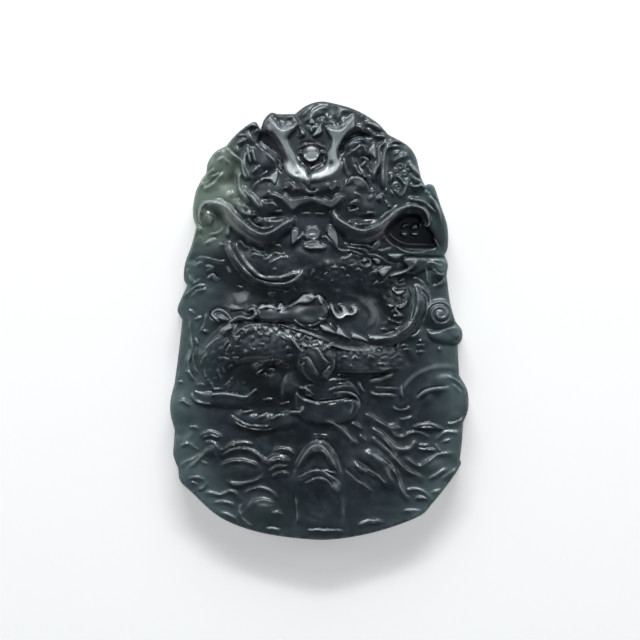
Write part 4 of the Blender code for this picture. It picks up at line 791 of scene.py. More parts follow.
def whiskers(stone):
    """Two long whiskers that sweep out from the nose and curl over at their ends."""
    left = [(-17, 15.6), (-16.4, 16.6), (-15.2, 16.75), (-14, 16.5), (-13, 16), (-12, 14.9), (-10.9, 13.9),
        (-9.6, 12.9), (-8.4, 12.3), (-7.4, 12.35), (-6.2, 12.9), (-4.5, 14.1)]
    stone.ridge(left, [0.8, 1.2, 1.5, 1.7, 1.8, 1.8, 1.7, 1.5, 1.2], 0.35, [1, 1.3, 1.7, 2, 2.2, 2.2, 1.6],
        [1.2, 1.7, 2, 2.2, 2])
    stone.crest(left, 0.7, 0.4, 0.6, taper=0.06)
    # A painted highlight along the top of the left whisker.
    stone.stroke([(-16.6, 16.5), (-15.6, 16.75), (-14.6, 16.7), (-13.6, 16.3), (-12.8, 15.7)], 1, 0.45)
    each(stone.crest, [
        (0.4, 0.4, 0.5, [(-15.6, 17.1), (-14.6, 17.2), (-13.6, 16.9), (-12.6, 16.2), (-11.8, 15.4),
         (-11, 14.6), (-10, 13.8)]),
        (0.6, 0.4, 0.6, [(-10.3, 15), (-10.1, 14.4), (-9.4, 13.7), (-8.5, 13.2), (-7.4, 13.1),
         (-6.2, 13.5)]),
    ])
    stone.swell((-15.9, 14.9), (1.6, 1.7), 0.9)
    each(stone.crest, [
        (0.5, 0.4, 0.6, [(-16.2, 13.2), (-16.8, 13.8), (-17.1, 14.6), (-17.1, 15.5), (-16.7, 16.4)]),
        (0.7, 0.4, 0.5, [(-15.9, 14.8), (-15.5, 14.6), (-15.3, 14.2), (-15.6, 13.8)]),
    ])
    right = [(2.4, 15), (2.7, 14.4), (3.6, 13.8), (4.6, 13.2), (5.6, 12.85), (6.6, 12.8), (7.6, 13.1),
        (8.6, 13.6), (9.6, 14.4), (10.6, 15.3), (11.6, 15.9), (12.8, 16.3), (13.9, 16.2), (14.8, 15.8),
        (15.4, 15), (15.6, 14.1)]
    stone.ridge(right, [1.2, 1.5, 1.7, 1.8, 1.8, 1.7, 1.5, 1.2, 1], 0.35,
        [1.2, 1.8, 2.2, 2.2, 1.8, 1.2, 0.7, 0.5, 0.5], [1.6, 2, 2.2, 2, 1.6])
    stone.crest(right, 0.7, 0.4, 0.6, taper=0.05)
    each(stone.crest, [
        (0.4, 0.35, 0.5, [(8.4, 14.1), (9.4, 15), (10.4, 15.8), (11.6, 16.7)]),
        (0.5, 0.3, 0.4, [(12.2, 16.55), (13.4, 16.65), (14.6, 16.3), (15.4, 15.6), (15.8, 14.8), (15.75, 14),
         (15.3, 13.5), (14.9, 13.6)]),
        (0.6, 0.4, 0.6, [(12.5, 17.15), (13.6, 17.1), (14.8, 16.9), (15.8, 16.2), (16.6, 15.3),
         (16.9, 14.4)]),
        (0.7, 0.5, 0.6, [(15.2, 17.9), (15.9, 17.5), (16.6, 16.6), (17, 15.6), (17.2, 14.6), (17.3, 13.7)]),
        (0.4, 0.4, 0.5, [(15, 18.6), (15.4, 18.2), (15.9, 17.9)]),
    ])


def scroll_hollow(stone):
    """The hollow under the right whisker's curl, with painted shade in it and small knobs with painted
    glints at its bottom.
    """
    hollow = [(9.2, 13), (10.8, 14.7), (12.2, 15.4), (13.8, 15.5), (14.8, 14.9), (15, 14.2), (15.8, 13.5),
        (16.5, 12.6), (16.9, 11.4), (17, 10.4), (16, 9.9), (14, 9.9), (12, 10), (10.4, 10.7), (9.3, 11.8)]
    stone.hollow(hollow, -1.4, 1)
    stone.tint(hollow, -1, 0.9)
    many(stone.pale, [
        [(11.7, 13.2), (12, 13.7), (12.6, 13.8), (12.8, 13.4), (12.3, 13.4), (12, 13.1)],
        [(13, 13), (13.4, 13.6), (13.9, 13.7), (14, 13.1)],
        [(11.6, 12.4), (12.1, 12.6), (12.5, 12.3), (12.3, 12), (11.8, 12.1)],
        [(13, 12.4), (13.9, 12.5), (14.1, 12.1), (13.4, 12.1)],
        [(14.2, 13.4), (14.3, 14), (14.6, 13.7), (14.5, 13.2)],
    ], 0.7, 0.25, 2.7, 0.15)
    each(stone.crest, [
        (0.6, 0.4, [(10.9, 10.8), (11.4, 10.2), (12.2, 9.8), (13.4, 9.6), (14.6, 9.65), (15.6, 9.9)]),
        (0.4, 0.3, [(15.6, 11.5), (16.1, 11.8), (16.6, 11.3), (16.9, 10.6), (17.2, 10.1)]),
        (0.8, 0.3, [(15.5, 14.4), (15.7, 13.8), (15.4, 13.4), (14.95, 13.6), (15, 14)]),
    ], 0.4)
    # A painted highlight on the curl's end.
    stone.tint([(14.8, 13.9), (15.6, 14.2), (15.8, 13.6), (15.2, 13.2)], 0.8, 0.3)


def beard(stone):
    """The curved fold under the chin and the hair that runs out from the jaw on both sides."""
    stone.band([(-11.6, 10.4), (-10, 8.2), (-7.6, 7.2), (-5, 7.2), (-3, 8.2)], 0.9, 2.4, 1.8)
    fold = [(-12.9, 11.6), (-12.7, 10.4), (-12, 9.1), (-11.2, 7.9), (-10.2, 6.8), (-9, 5.9), (-7.6, 5.4),
        (-6, 5.2), (-4.6, 5.3), (-3.4, 5.9), (-2.7, 6.6), (-2.2, 7.3)]
    stone.band(fold, 0.5, 0.7, 0.9)
    stone.crest(fold, 0.8, 0.4, 0.7, taper=0.1)
    stone.bead([(-11.7, 11.2), (-11.8, 10.5), (-11.2, 9.3), (-10.5, 8.2), (-9.6, 7.2), (-8.5, 6.3),
        (-7.4, 6), (-5.8, 6), (-4.4, 6.3), (-3.2, 6.9)], 0.4, 0.35, taper=0.06)
    each(stone.crest, [
        (0.35, [(-11.6, 11.4), (-11, 11), (-10.5, 10.5), (-10, 10.1)]),
        (0.5, [(-10.6, 11.6), (-10, 11.3), (-9.6, 10.9)]),
        (0.45, [(-8.8, 10.2), (-8.2, 10.5), (-7.5, 10.45), (-7, 10.2)]),
        (0.45, [(-6.4, 10.6), (-5.9, 10.7), (-5.3, 10.3)]),
        (0.4, [(-10, 9.8), (-9.4, 10.1), (-8.7, 9.8), (-8, 9.7), (-7.4, 9.9)]),
        (0.6, [(-9.8, 9), (-9.3, 9.5), (-8.6, 9.3), (-8, 9.2), (-7.5, 8.9)]),
        (0.5, [(-8.2, 8.5), (-7.5, 8.8), (-6.9, 9.3), (-6.2, 9.6), (-5.4, 9.45), (-4.5, 9.5)]),
        (0.4, [(-7.4, 8), (-6.6, 8.5), (-5.9, 8.9), (-5.1, 9), (-4.2, 8.9)]),
        (0.25, [(-7, 7.1), (-6.5, 7.25), (-6, 7.2)]),
        (0.6, [(3.1, 11), (4.2, 10.8), (5.6, 10.7), (6.8, 10.6), (7.7, 10.2), (8.4, 9.95)]),
        (0.35, [(4.2, 11.1), (5.4, 11.1), (6.6, 11.2), (7.6, 11.3), (8.4, 11.6)]),
        (0.7, [(7.2, 10.2), (7.7, 10.6), (8, 11), (8.6, 11.4)]),
        (0.6, [(8, 10.1), (9, 9.95), (9.7, 10.25), (10.4, 10.3)]),
        (0.7, [(3.2, 10.6), (4.4, 10.3), (5.6, 10.2), (6.6, 10), (7.1, 9.4), (8, 9.3), (9, 8.8), (9.7, 8.3),
         (10.6, 8.1), (11.4, 7.9)]),
        (0.6, [(2.1, 10.9), (2.6, 10.3), (3.3, 9.95), (4.3, 9.95), (5.2, 9.7), (6.1, 9.35), (6.8, 9.1)]),
        (0.35, [(2.8, 8.6), (3.8, 8.9), (4.6, 9.25), (5.4, 9.1), (6, 8.6)]),
        (0.4, [(9.6, 8.4), (10.4, 8.1), (11.4, 8.1), (12, 7.9)]),
    ], 0.35, 0.7)
    scrap = [(9.8, 9.4), (12, 9.45), (11.6, 9), (10.9, 8.7), (10.2, 8.9)]
    # A small scrap with a painted highlight.
    stone.pale(scrap, 0.6, 0.3, 0.9, 0.15)
    stone.swell((8, 10.6), (0.8, 0.6), 0.4)


def elbow(stone):
    """Scales, spurs and the pointed leaf where the neck meets the right-hand clouds."""
    leaf = [(12, 8.3), (12.3, 8.75), (13.9, 8.8), (13.8, 8), (13, 7.2), (11.6, 6.5), (9.9, 6.15),
        (10.6, 6.8), (11.8, 7.1), (12.6, 7.7)]
    # The leaf and the spurs below with painted highlights.
    stone.pale(leaf, 0.8, 0.35, 0.9, 0.2)
    stone.bead([(9.9, 6.2), (11.5, 6.55), (12.9, 7.2), (13.7, 8), (13.9, 8.7), (12.6, 8.75), (12, 8.3)],
        0.45, 0.3, taper=0.05)
    many(stone.pale, [
        [(7.5, 8.7), (7.8, 8.85), (8.5, 8.7), (8.7, 8.2), (8.1, 7.9), (7.9, 8.3)],
        [(8.3, 7), (9.2, 7.7), (10.4, 7.65), (9.8, 6.8), (9.1, 6.2), (8.6, 6.5)],
        [(6.1, 8.3), (6.5, 8.75), (6.9, 8.6), (6.5, 8.2)],
        [(6.3, 7.4), (6.8, 7.9), (7.4, 8), (7.2, 7.5)],
    ], 0.7, 0.3, 0.8, 0.2)
    each(stone.crest, [
        (0.5, [(6, 8.2), (6.4, 8.8), (6.8, 8.7)]),
        (0.4, [(6.2, 7.6), (6.7, 8), (7.3, 8.1)]),
        (0.4, [(6.9, 8.9), (7.3, 8.4), (7.4, 7.7)]),
        (0.35, [(9.2, 8), (8.7, 7.3), (8.1, 6.9), (7.4, 7)]),
        (0.4, [(6.8, 6), (7.3, 6.7), (7.9, 6.9), (8.4, 6.5)]),
        (0.5, [(7.6, 4.9), (8, 5.4), (8.4, 5.6)]),
        (0.35, [(8.6, 5.1), (9.3, 5.7), (9.8, 6.3)]),
        (0.5, [(11.2, 5.4), (11.6, 5.7), (12.1, 5.8)]),
    ], 0.35, 0.5)


def left_clouds(stone):
    """Low clouds between the left edge and the coils, with the curled tongue of cloud beside them."""
    each(stone.swell, [((3.4, 2.6), 0.5, (-15.2, 9.6)), ((2.6, 2), 0.6, (-16.2, 7.4))])
    each(stone.crest, [
        (0.3, [(-17.3, 14), (-17.5, 13), (-17.8, 11.9), (-18.2, 10.8)]),
        (0.3, [(-16.9, 13.2), (-17.1, 12.3), (-16.8, 11.3)]),
        (0.4, [(-15.9, 12.1), (-15.2, 12.3), (-14.5, 12.5), (-13.9, 12.9), (-13.7, 13.6)]),
        (0.4, [(-16.4, 10.7), (-15.8, 11.3), (-15.1, 11.6), (-14.5, 11.3)]),
        (0.45, [(-14.3, 11), (-13.7, 10.8), (-13.1, 10.9)]),
        (0.35, [(-18.2, 8.1), (-17.5, 8.8), (-16.6, 9), (-15.7, 8.8), (-14.6, 8.5), (-13.6, 8.4),
         (-13.2, 7.8), (-12.8, 6.7)]),
        (0.4, [(-17.4, 7.9), (-17, 8.3), (-16.6, 8.1)]),
        (0.5, [(-16.3, 7.4), (-15.9, 7.8), (-15.3, 7.7), (-14.8, 7.4)]),
        (0.4, [(-16.2, 7), (-15.6, 7.2), (-15, 7)]),
        (0.4, [(-18.1, 4.8), (-18.4, 5.7), (-18.8, 6.6), (-18.8, 7.2), (-18.4, 7.7)]),
        (0.7, [(-16.1, 5.7), (-15.6, 6.3), (-15.1, 6.6), (-14.8, 6.2), (-14.4, 5.9), (-14, 5.6)]),
        (0.4, [(-19.8, 2.9), (-19.1, 3.7), (-18.2, 4.4), (-17.4, 4.95), (-16.5, 5), (-15.5, 4.9)]),
        (0.4, [(-18.3, 3.2), (-17.6, 4.1), (-16.7, 4.4), (-15.9, 4.7)]),
        (0.25, [(-18.2, 5), (-17.5, 5.6), (-16.8, 6)]),
        (0.3, [(-12, 4.8), (-11.4, 4.8), (-10.8, 4.5)]),
        (0.35, [(-7.5, 3.5), (-6.9, 3.9), (-6.3, 3.9), (-5.8, 3.5)]),
        (0.4, [(-5.2, 3.8), (-4.7, 4.1), (-4.2, 4)]),
        (0.3, [(-3.9, 4.9), (-3.6, 4.4), (-3.2, 3.9)]),
        (0.4, [(-17.9, 0), (-17.3, 0.4), (-16.6, 0.4)]),
        (0.45, [(-17.1, -2.1), (-16.9, -1.3), (-16.5, -0.6), (-16.3, 0.3), (-16.1, 1.2)]),
        (0.5, [(-18.8, 1.4), (-18.5, 0.2), (-18.4, -1.4), (-18.2, -3), (-18.1, -4), (-18.4, -5),
         (-18.7, -6.2), (-18.4, -7.6), (-17.8, -8.6), (-17.3, -9.5)]),
        (0.25, [(-18.7, 1.5), (-18.2, 1.3), (-17.8, 0.8)]),
        (0.35, [(-17.9, -4.4), (-18, -5.6), (-17.7, -6.8), (-17.2, -7.8)]),
        (0.4, [(-17.7, -2.4), (-17.4, -3), (-17.2, -3.6)]),
        (0.3, [(-19.3, -7.4), (-18.7, -7.3), (-18.1, -8), (-17.8, -8.8)]),
    ], 0.35, 0.7)
    stone.raised([(-13.4, 12.2), (-13.2, 12.9), (-12.9, 13.8), (-12.7, 12.9), (-12.7, 12)], 0.6, 0.3)
    # Painted highlights on the cloud patches, curls, knob and tongue.
    stone.tint([(-12.4, 4), (-10.3, 3.9), (-10.2, 2.7), (-11.8, 2.5)], 0.45, 0.35)
    many(stone.stroke, [
        [(-16.2, 7.5), (-15.8, 7.7), (-15.3, 7.5), (-14.9, 7.4)],
        [(-16.1, 5.8), (-15.6, 6.3), (-15.2, 6.5), (-15, 6), (-14.5, 5.7), (-14.2, 5.9)],
        [(-13.2, 7.8), (-12.9, 7.2), (-12.6, 6.7)],
        [(-16.1, 11), (-15.5, 11.4), (-14.9, 11.5)],
    ], 1.2, 0.25)
    knob = [(-13.3, 2), (-12.6, 2.2), (-11.6, 1.9), (-10.8, 1.7), (-11.4, 1.4), (-12.6, 1.4)]
    stone.pale(knob, 0.3, 0.35, 0.5, 0.35)
    stone.swell((-16.3, -1.6), (0.6, 0.4), 0.4, turn=-20)
    stone.swell((-14.1, 0.4), (1.6, 1.2), 0.6)
    stone.crest([(-14, -0.5), (-14.6, 0), (-15.2, 0.6), (-15.3, 1), (-14.8, 1.45), (-14, 1.5), (-13.3, 1.1),
        (-12.7, 0.4), (-12.4, -0.1)], 0.9, 0.35, 0.5, taper=0.1)
    stone.tint([(-14.6, 0.9), (-13.9, 1), (-13.2, 0.5), (-12.9, -0.1), (-13.6, -0.3), (-14.3, 0.2)],
        0.35, 0.3)
    stone.raised([(-14.8, 0.8), (-14, 0.6), (-12.9, 0.1), (-13.6, -0.2), (-14.3, 0.1)], 0.4, 0.4)
    tongue = [(-14.3, -2), (-13.8, -1.2), (-13.1, -0.7), (-12.5, -0.1), (-11.8, 0.4), (-11, 0.5),
        (-10.3, 0.3), (-9.6, 0.4), (-9.2, 0.9), (-9.3, 1.5), (-9.8, 1.5), (-10.3, 1.1)]
    stone.band(tongue, [0.5, 0.9, 0.9, 0.7, 0.5], [0.4, 0.5, 0.6, 0.5, 0.35], [0.9, 1, 0.8, 0.4])
    stone.crest(tongue, 0.8, 0.35, 0.5, taper=0.08)
    stone.tint([(-14.3, -1.9), (-13.4, -0.9), (-12.5, -0.2), (-11.9, 0.5), (-10.9, 0.6), (-10.6, 0.1),
        (-11.8, -0.2), (-12.6, -0.9), (-13.4, -1.7)], 0.7, 0.3)
    stone.swell((-13, -1.4), (1.2, 0.7), 0.4, turn=30)


def right_cloud(stone):
    """The rolled cloud with its spiral at the right edge, the bar under it and the ribbons above."""
    centre = (17.3, 0.9)
    stone.swell(centre, (2.8, 2.6), 0.9)
    spiral = []
    for k in range(24):
        turn = math.radians(200 - 36 * k)
        radius = 2.1 - 0.078 * k
        spiral.append((centre[0] + radius * math.cos(turn), centre[1] + 0.95 * radius * math.sin(turn)))
    stone.bead(spiral, 0.32, 0.3, taper=0.04)
    ribbon = [(12.2, 8.6), (15, 8.6), (18.3, 8.6), (18.4, 7), (17.6, 6.5), (16.6, 6.9), (15.6, 7.3),
        (14, 6.6), (12.4, 6.5), (13.6, 7.6)]
    # The ribbon, raised, with a faint painted sheen.
    stone.pale(ribbon, 0.5, 0.6, 0.12, 0.5)
    shade = [(15.7, 7), (16.6, 6.8), (17.6, 6.3), (17.8, 5.6), (17, 5), (15.9, 4.9), (15.6, 5.8)]
    stone.hollow(shade, 0, 0.3)
    # Painted shade in the hollow and along the crease above the ribbon.
    each(stone.tint, [
        (-0.8, 0.6, shade),
        (-1, 0.2, [(11.8, 9.5), (15, 9.4), (18.2, 9.3), (18.2, 8.9), (15, 8.9), (12.4, 9)]),
    ])
    spike = [(15.1, 7.3), (15.4, 7.2), (15.6, 6.2), (15.5, 5), (15.2, 6)]
    # A painted highlight on the spike.
    stone.pale(spike, 0.6, 0.2, 0.5, 0.15)
    bar = [(15.4, -1.4), (16.4, -1.6), (17.6, -1.3), (18.6, -0.9), (19.6, -0.7), (20.4, -1.4), (20.3, -2.6),
        (19.2, -3.3), (17.4, -3.2), (15.8, -2.6)]
    stone.raised(bar, 0.7, 0.9)
    each(stone.crest, [
        (0.4, [(15.4, -1.4), (16.3, -1.6), (17.6, -1.4), (18.6, -1.1), (19.4, -0.9), (20, -1.2)]),
        (0.5, [(12, 8.75), (13.6, 8.8), (15.4, 8.7), (17, 8.7), (18.2, 8.4)]),
        (0.4, [(15, 7.6), (15.5, 8.1), (16.1, 8.3), (16.8, 8), (17.8, 7.7)]),
        (0.6, [(15.8, 7.4), (16.4, 7.1), (16.9, 6.7), (17.6, 6.5), (18.2, 6.9)]),
        (0.35, [(16, 4.8), (16.8, 5), (17.5, 5.5), (18, 6.2)]),
        (0.35, [(13, 5.9), (13.8, 6), (14.6, 5.6), (15.3, 4.9)]),
        (0.3, [(11.2, 7), (12.2, 6.9), (13.4, 6.7), (14.4, 6.6)]),
        (0.35, [(16.8, 5), (17.6, 5.7), (18.2, 6)]),
        (0.35, [(14, -3.1), (14.4, -2.9), (14.8, -3)]),
        (0.35, [(13.9, -3.7), (14.5, -3.5), (15.1, -3.6)]),
        (0.5, [(13.9, -4.7), (14.4, -4.35), (15, -4.5)]),
        (0.35, [(17.1, -4.6), (17, -4.2), (17.1, -3.8)]),
    ], 0.35, 0.7)


def coils(stone):
    """The scaled body: neck, right loop with belly plates, lower run, thigh and the arch on the left."""
    neck = [(-3.4, 5.9), (-1, 6.4), (1.6, 6.6), (4.2, 6.5), (6.8, 5.8), (9, 4.6), (10.6, 2.8), (11, 0.8),
        (10.2, -0.6), (8.8, -1.3)]
    stone.band(neck, [0, 0, 0.1, 0.4, 0.6, 0.6], [2, 2, 2.4, 2.8, 3, 2.6], [1.8, 2.2, 2.2, 2, 1.4])
    stone.scales(neck, [1.2, 2, 2.4, 2.2, 0.4], [1.4, 2, 2, 1.4, 0.6], 1.05, 0.2)
    # Painted shade inside the right loop.
    stone.tint([(8.4, 4.6), (10.2, 5.6), (12.6, 5), (13.1, 3), (12.8, 1), (11.8, -0.6), (9.8, -0.9),
        (8.2, 0.4), (7.9, 2.6)], -0.7, 0.8)
    stone.hollow([(7.2, 3.4), (8.8, 3.8), (9.4, 2), (9.2, 0.2), (8, -0.8), (7.9, 0.6)], 0.1, 1)
    tail = [(1.2, 3.4), (2.2, 3.8), (3.4, 3.8), (5, 3.4), (6.6, 2.4), (7.5, 1.3), (7.7, 0.2), (7.3, -0.6),
        (6.4, -1.1)]
    stone.band(tail, 0.12, 0.6, 0.7)
    # A painted sheen along the tail.
    stone.tint([(2, 3.5), (3.4, 4), (5.2, 3.8), (7.2, 2.4), (8.1, 0.8), (7.8, -0.6), (6.4, -1.2), (7, 0.2),
        (6.8, 1.6), (5.2, 3), (3.6, 3.4)], 0.26, 0.4)
    each(stone.crest, [
        (0.6, [(10.3, 4.7), (10.9, 4.55), (11.6, 4.5), (12.2, 4.6), (12.6, 4.5)]),
        (0.6, [(10.6, 2.1), (10.9, 1.5), (11.4, 1), (12.1, 0.65)]),
        (0.5, [(9.7, 0.4), (10.2, 0), (11, -0.3), (11.9, -0.3)]),
        (0.5, [(8.6, -1.3), (9.2, -1.2), (9.8, -1.4)]),
        (0.4, [(10.2, 1), (10.7, 1.4), (11.2, 1.9), (11.7, 2.2)]),
    ], 0.35, 0.4)
    # Belly plates with painted highlights.
    many(stone.pale, [
        [(10.4, 4.4), (11.2, 4.2), (12.3, 4.35), (11.9, 3.8), (11.2, 3.55), (10.7, 3.9)],
        [(9.6, 2.2), (10.2, 2.3), (10.7, 2.1), (10.2, 1.75)],
        [(11.3, 1.8), (11.9, 2.1), (12.4, 2.6), (12.6, 3), (12.5, 2.3), (11.9, 1.7)],
        [(10.4, 0.5), (11.2, 0.9), (12.1, 0.5), (11.3, 0.45)],
        [(11.2, 5.5), (11.8, 5.95), (12.1, 5.7)],
    ], 0.4, 0.25, 1.6, 0.15)
    # A faint painted sheen on the loop's outer rim.
    stone.tint([(14.2, 4.8), (14.9, 3.6), (15.6, 2.4), (15.5, 0.6), (15.2, -0.6), (14.2, -2.2), (12.8, -2.2),
        (13.6, -0.6), (14.2, 1), (14.3, 3)], 0.2, 0.5)
    outer = [(10, -1.1), (11, -1.25), (12, -0.95), (12.7, -0.3), (13.1, 0.7), (13.3, 1.8), (13.35, 3),
        (13.1, 4.2), (12.6, 5)]
    stone.bead(outer, 0.35, 0.3)
    rim = [(7, -2.9), (8.4, -2.7), (9.8, -2.5), (11.2, -1.9), (12.4, -1.1), (13.3, 0), (13.8, 1.4),
        (14, 2.8), (13.9, 4.2), (13.5, 5.2)]
    stone.band(rim, 0.8, 0.6, 1.5)
    stone.crest(rim, [0.4, 0.5, 0.7, 1, 0.6], 0.35, 0.6, taper=0.08)
    each(stone.crest, [
        (0.4, [(14.5, -1.2), (14.7, -0.4), (15.2, 0.8), (15.4, 2), (15.2, 3.1), (14.7, 3.9), (14.2, 4.5)]),
        (0.35, [(15.8, 1.8), (15.8, 2.8), (15.4, 3.8), (14.8, 4.6), (14.3, 5)]),
        (0.3, [(12.4, -2.5), (13.5, -2.2), (14.3, -1.5), (14.6, -0.7)]),
    ], 0.35, 0.7)
    arch = [(-14.2, -10), (-15, -7.8), (-14.8, -5.6), (-13.4, -3.8), (-11.2, -2.8), (-8.6, -2.6), (-6, -3.1),
        (-3.4, -4), (-1, -5.4)]
    stone.band(arch, [0.5, 0.7, 0.9, 1.2, 1.4, 1.5, 1.5], [2.2, 2.6, 2.6, 2.2, 1.9], [2, 3, 3.4, 3.4, 3],
        flatness=8)
    stone.scales(arch, [1.4, 2, 1.8, 1.4, 1.2], [1.4, 2.2, 2.6, 2.6, 2.4], 1.15, 0.2)
    lower = [(1.6, -5.4), (3.6, -5.8), (6, -6), (8.4, -6), (10.6, -5.6), (12.4, -5)]
    stone.band(lower, [1.4, 1.4, 1.3, 1, 0.6, 0.2], [2, 2, 2, 1.8], [2, 1.9, 1.6, 1], flatness=10)
    stone.scales(lower, [1.2, 1.6, 1.6, 1], [1.4, 1.6, 1.4, 0.8], 0.95, 0.14)
    stone.swell((-0.6, -5.8), (3.4, 3.6), 1)
    knee = [(-2.2, -3.4), (-0.6, -3), (1.2, -3.6), (2.2, -4.8), (2.3, -6.6), (1.4, -8.3), (0, -9.1),
        (-1.6, -8.6), (-2.8, -7), (-3, -5)]
    stone.raised(knee, 0.5, 0.9)
    each(stone.crest, [
        (0.6, [(-2.6, -6.1), (-2.2, -5.5), (-1.7, -5.3), (-1.3, -5.7), (-0.8, -6.7), (-0.2, -7.6),
         (0.1, -8)]),
        (0.6, [(-1.2, -4.4), (-0.8, -4), (-0.3, -4), (0.1, -4.5), (0.4, -5.1), (0.9, -5.7), (1.5, -6.4)]),
        (0.5, [(0.4, -4.6), (0.8, -3.9), (1.4, -3.6), (1.8, -3.9), (1.9, -4.4)]),
        (0.4, [(0.1, -8), (0.8, -7.3), (1.4, -6.7), (1.9, -6.4)]),
        (0.35, [(2, -3.7), (2.3, -5), (2.1, -6.6), (1.3, -8)]),
        (0.4, [(-2.7, -6.8), (-2.3, -6.2), (-2, -6)]),
        (0.4, [(-1.9, -3.2), (-1.3, -3.5), (-0.9, -4.1)]),
        (0.4, [(-3, -3.9), (-2.6, -3.5), (-2, -3.6), (-1.5, -3.9)]),
        (0.4, [(-4.8, -4.5), (-4.5, -3.8), (-4.2, -4.3)]),
        (0.45, [(-4.6, -5.2), (-4.1, -4.9), (-3.7, -5.2)]),
        (0.3, [(-5.1, -6.5), (-4.8, -6.1), (-4.4, -6.3)]),
    ], 0.35, 0.7)
    hem = [(1, -3.3), (2.2, -3.6), (3.4, -3.95), (4.8, -4.1), (6.2, -4.15), (7.6, -3.95), (8.8, -3.85),
        (9.4, -4.1)]
    stone.bead(hem, 0.25, 0.3)
    # A painted highlight along the hem.
    stone.stroke(hem, 0.45, 0.35)
    for x, y in smooth_line(hem)[3::4]:
        fold = [(x - 0.35, y), (x + 0.4, y + 0.05), (x + 0.2, y - 0.4), (x - 0.2, y - 0.35)]
        stone.raised(fold, 0.25, 0.2)
    many(stone.swell, [(1.9, -3.6), (2.9, -3.9), (3.9, -4.1), (4.9, -4.2), (5.9, -4.2), (6.9, -4.1),
        (7.9, -4), (8.9, -3.9)], (0.5, 0.4), 0.3)
    each(stone.crest, [
        (0.5, [(-16.4, -4.4), (-16, -3.7), (-15.4, -3.1), (-14.8, -2.7), (-14.1, -2.3)]),
        (0.45, [(-17, -6.7), (-16.9, -6), (-16.4, -5.2), (-15.9, -4.7)]),
        (0.4, [(-16.1, -8.5), (-16.4, -7.6), (-16.4, -6.7)]),
        (0.4, [(-13.6, -3.9), (-13.2, -3.2), (-12.9, -2.9)]),
        (0.5, [(-13.2, -4.6), (-13, -3.9), (-12.7, -3.3)]),
        (0.4, [(-14.5, -5.6), (-13.8, -5.3), (-13.1, -5.5), (-12.7, -6)]),
        (0.45, [(-12.5, -5.5), (-11.9, -5.3), (-11.3, -5.5)]),
        (0.4, [(-13.9, -9.3), (-14.1, -8.4), (-14.4, -7.4), (-14.7, -6.5)]),
        (0.35, [(-14.1, -6.5), (-13.6, -7.1), (-13.2, -7.7)]),
        (0.45, [(-13.1, -7), (-12.6, -6.5), (-12.1, -6.5)]),
        (0.5, [(-13.6, -9.5), (-13, -8.9), (-12.5, -8.4), (-12.1, -8.1)]),
        (0.35, [(-13.3, -9.7), (-12.6, -9.1), (-12.1, -8.6)]),
        (0.3, [(-15.4, -9.9), (-15.3, -9.3), (-15.8, -8.9)]),
    ], 0.35, 0.5)
    many(stone.swell, [(-11.2, -3), (-9.5, -2.5), (-6.3, -3), (-10.6, -9), (-0.2, 6), (1.8, 5.6), (6, 5.7),
        (4.5, -6.5), (10.8, -2.3)], (0.25, 0.22), 0.25)
    each(stone.crest, [
        (0.6, [(-1.4, 6.2), (-1.1, 6.7), (-0.8, 7.2)]),
        (0.6, [(0.6, 6.2), (0.8, 6.6), (1.1, 6.6)]),
        (0.6, [(1.7, 7.4), (2.2, 7.6), (2.8, 7.45)]),
        (0.5, [(3, 7.4), (3.4, 7.5), (3.7, 7.1)]),
        (0.5, [(4.2, 7.6), (4.7, 7.9), (5.2, 7.9)]),
        (0.6, [(5.1, 6.9), (5.5, 7.35), (6.1, 7)]),
        (0.5, [(3.8, 6.2), (4.05, 6.4), (4.3, 6.2)]),
        (0.4, [(-12, -3.8), (-11.7, -3.7), (-11.4, -3.85)]),
        (0.4, [(-10.8, -4.4), (-10.5, -4.35), (-10.1, -4.6)]),
        (0.4, [(-9.8, -4.1), (-9.4, -4.1), (-9.1, -4.3)]),
        (0.4, [(-8.5, -3.4), (-8.2, -3.3), (-7.9, -3.5)]),
        (0.5, [(4.5, -5.8), (5, -5.1), (5.6, -5.6)]),
        (0.35, [(3, -5.4), (3.5, -5.1), (3.9, -5.4)]),
        (0.35, [(6.6, -5.8), (7.2, -5.1), (7.9, -5.4)]),
        (0.45, [(8.8, -5.6), (9.3, -5.2), (9.8, -5.4)]),
        (0.45, [(8.3, -6.3), (9, -6.1), (9.7, -6.4)]),
        (0.25, [(7.6, -6.9), (8.6, -7.3), (9.8, -7), (11, -6.9)]),
        (0.5, [(10.2, -5.7), (10.7, -5.1), (11.3, -4.9), (11.8, -5.3)]),
        (0.5, [(10.8, -4.3), (11.1, -3.8), (11.2, -3.2)]),
        (0.5, [(11.6, -3.9), (12.1, -3.5), (12.7, -3.8)]),
        (0.4, [(12, -4.4), (12.4, -4.1), (12.9, -4.2)]),
    ], 0.35, 0.35)


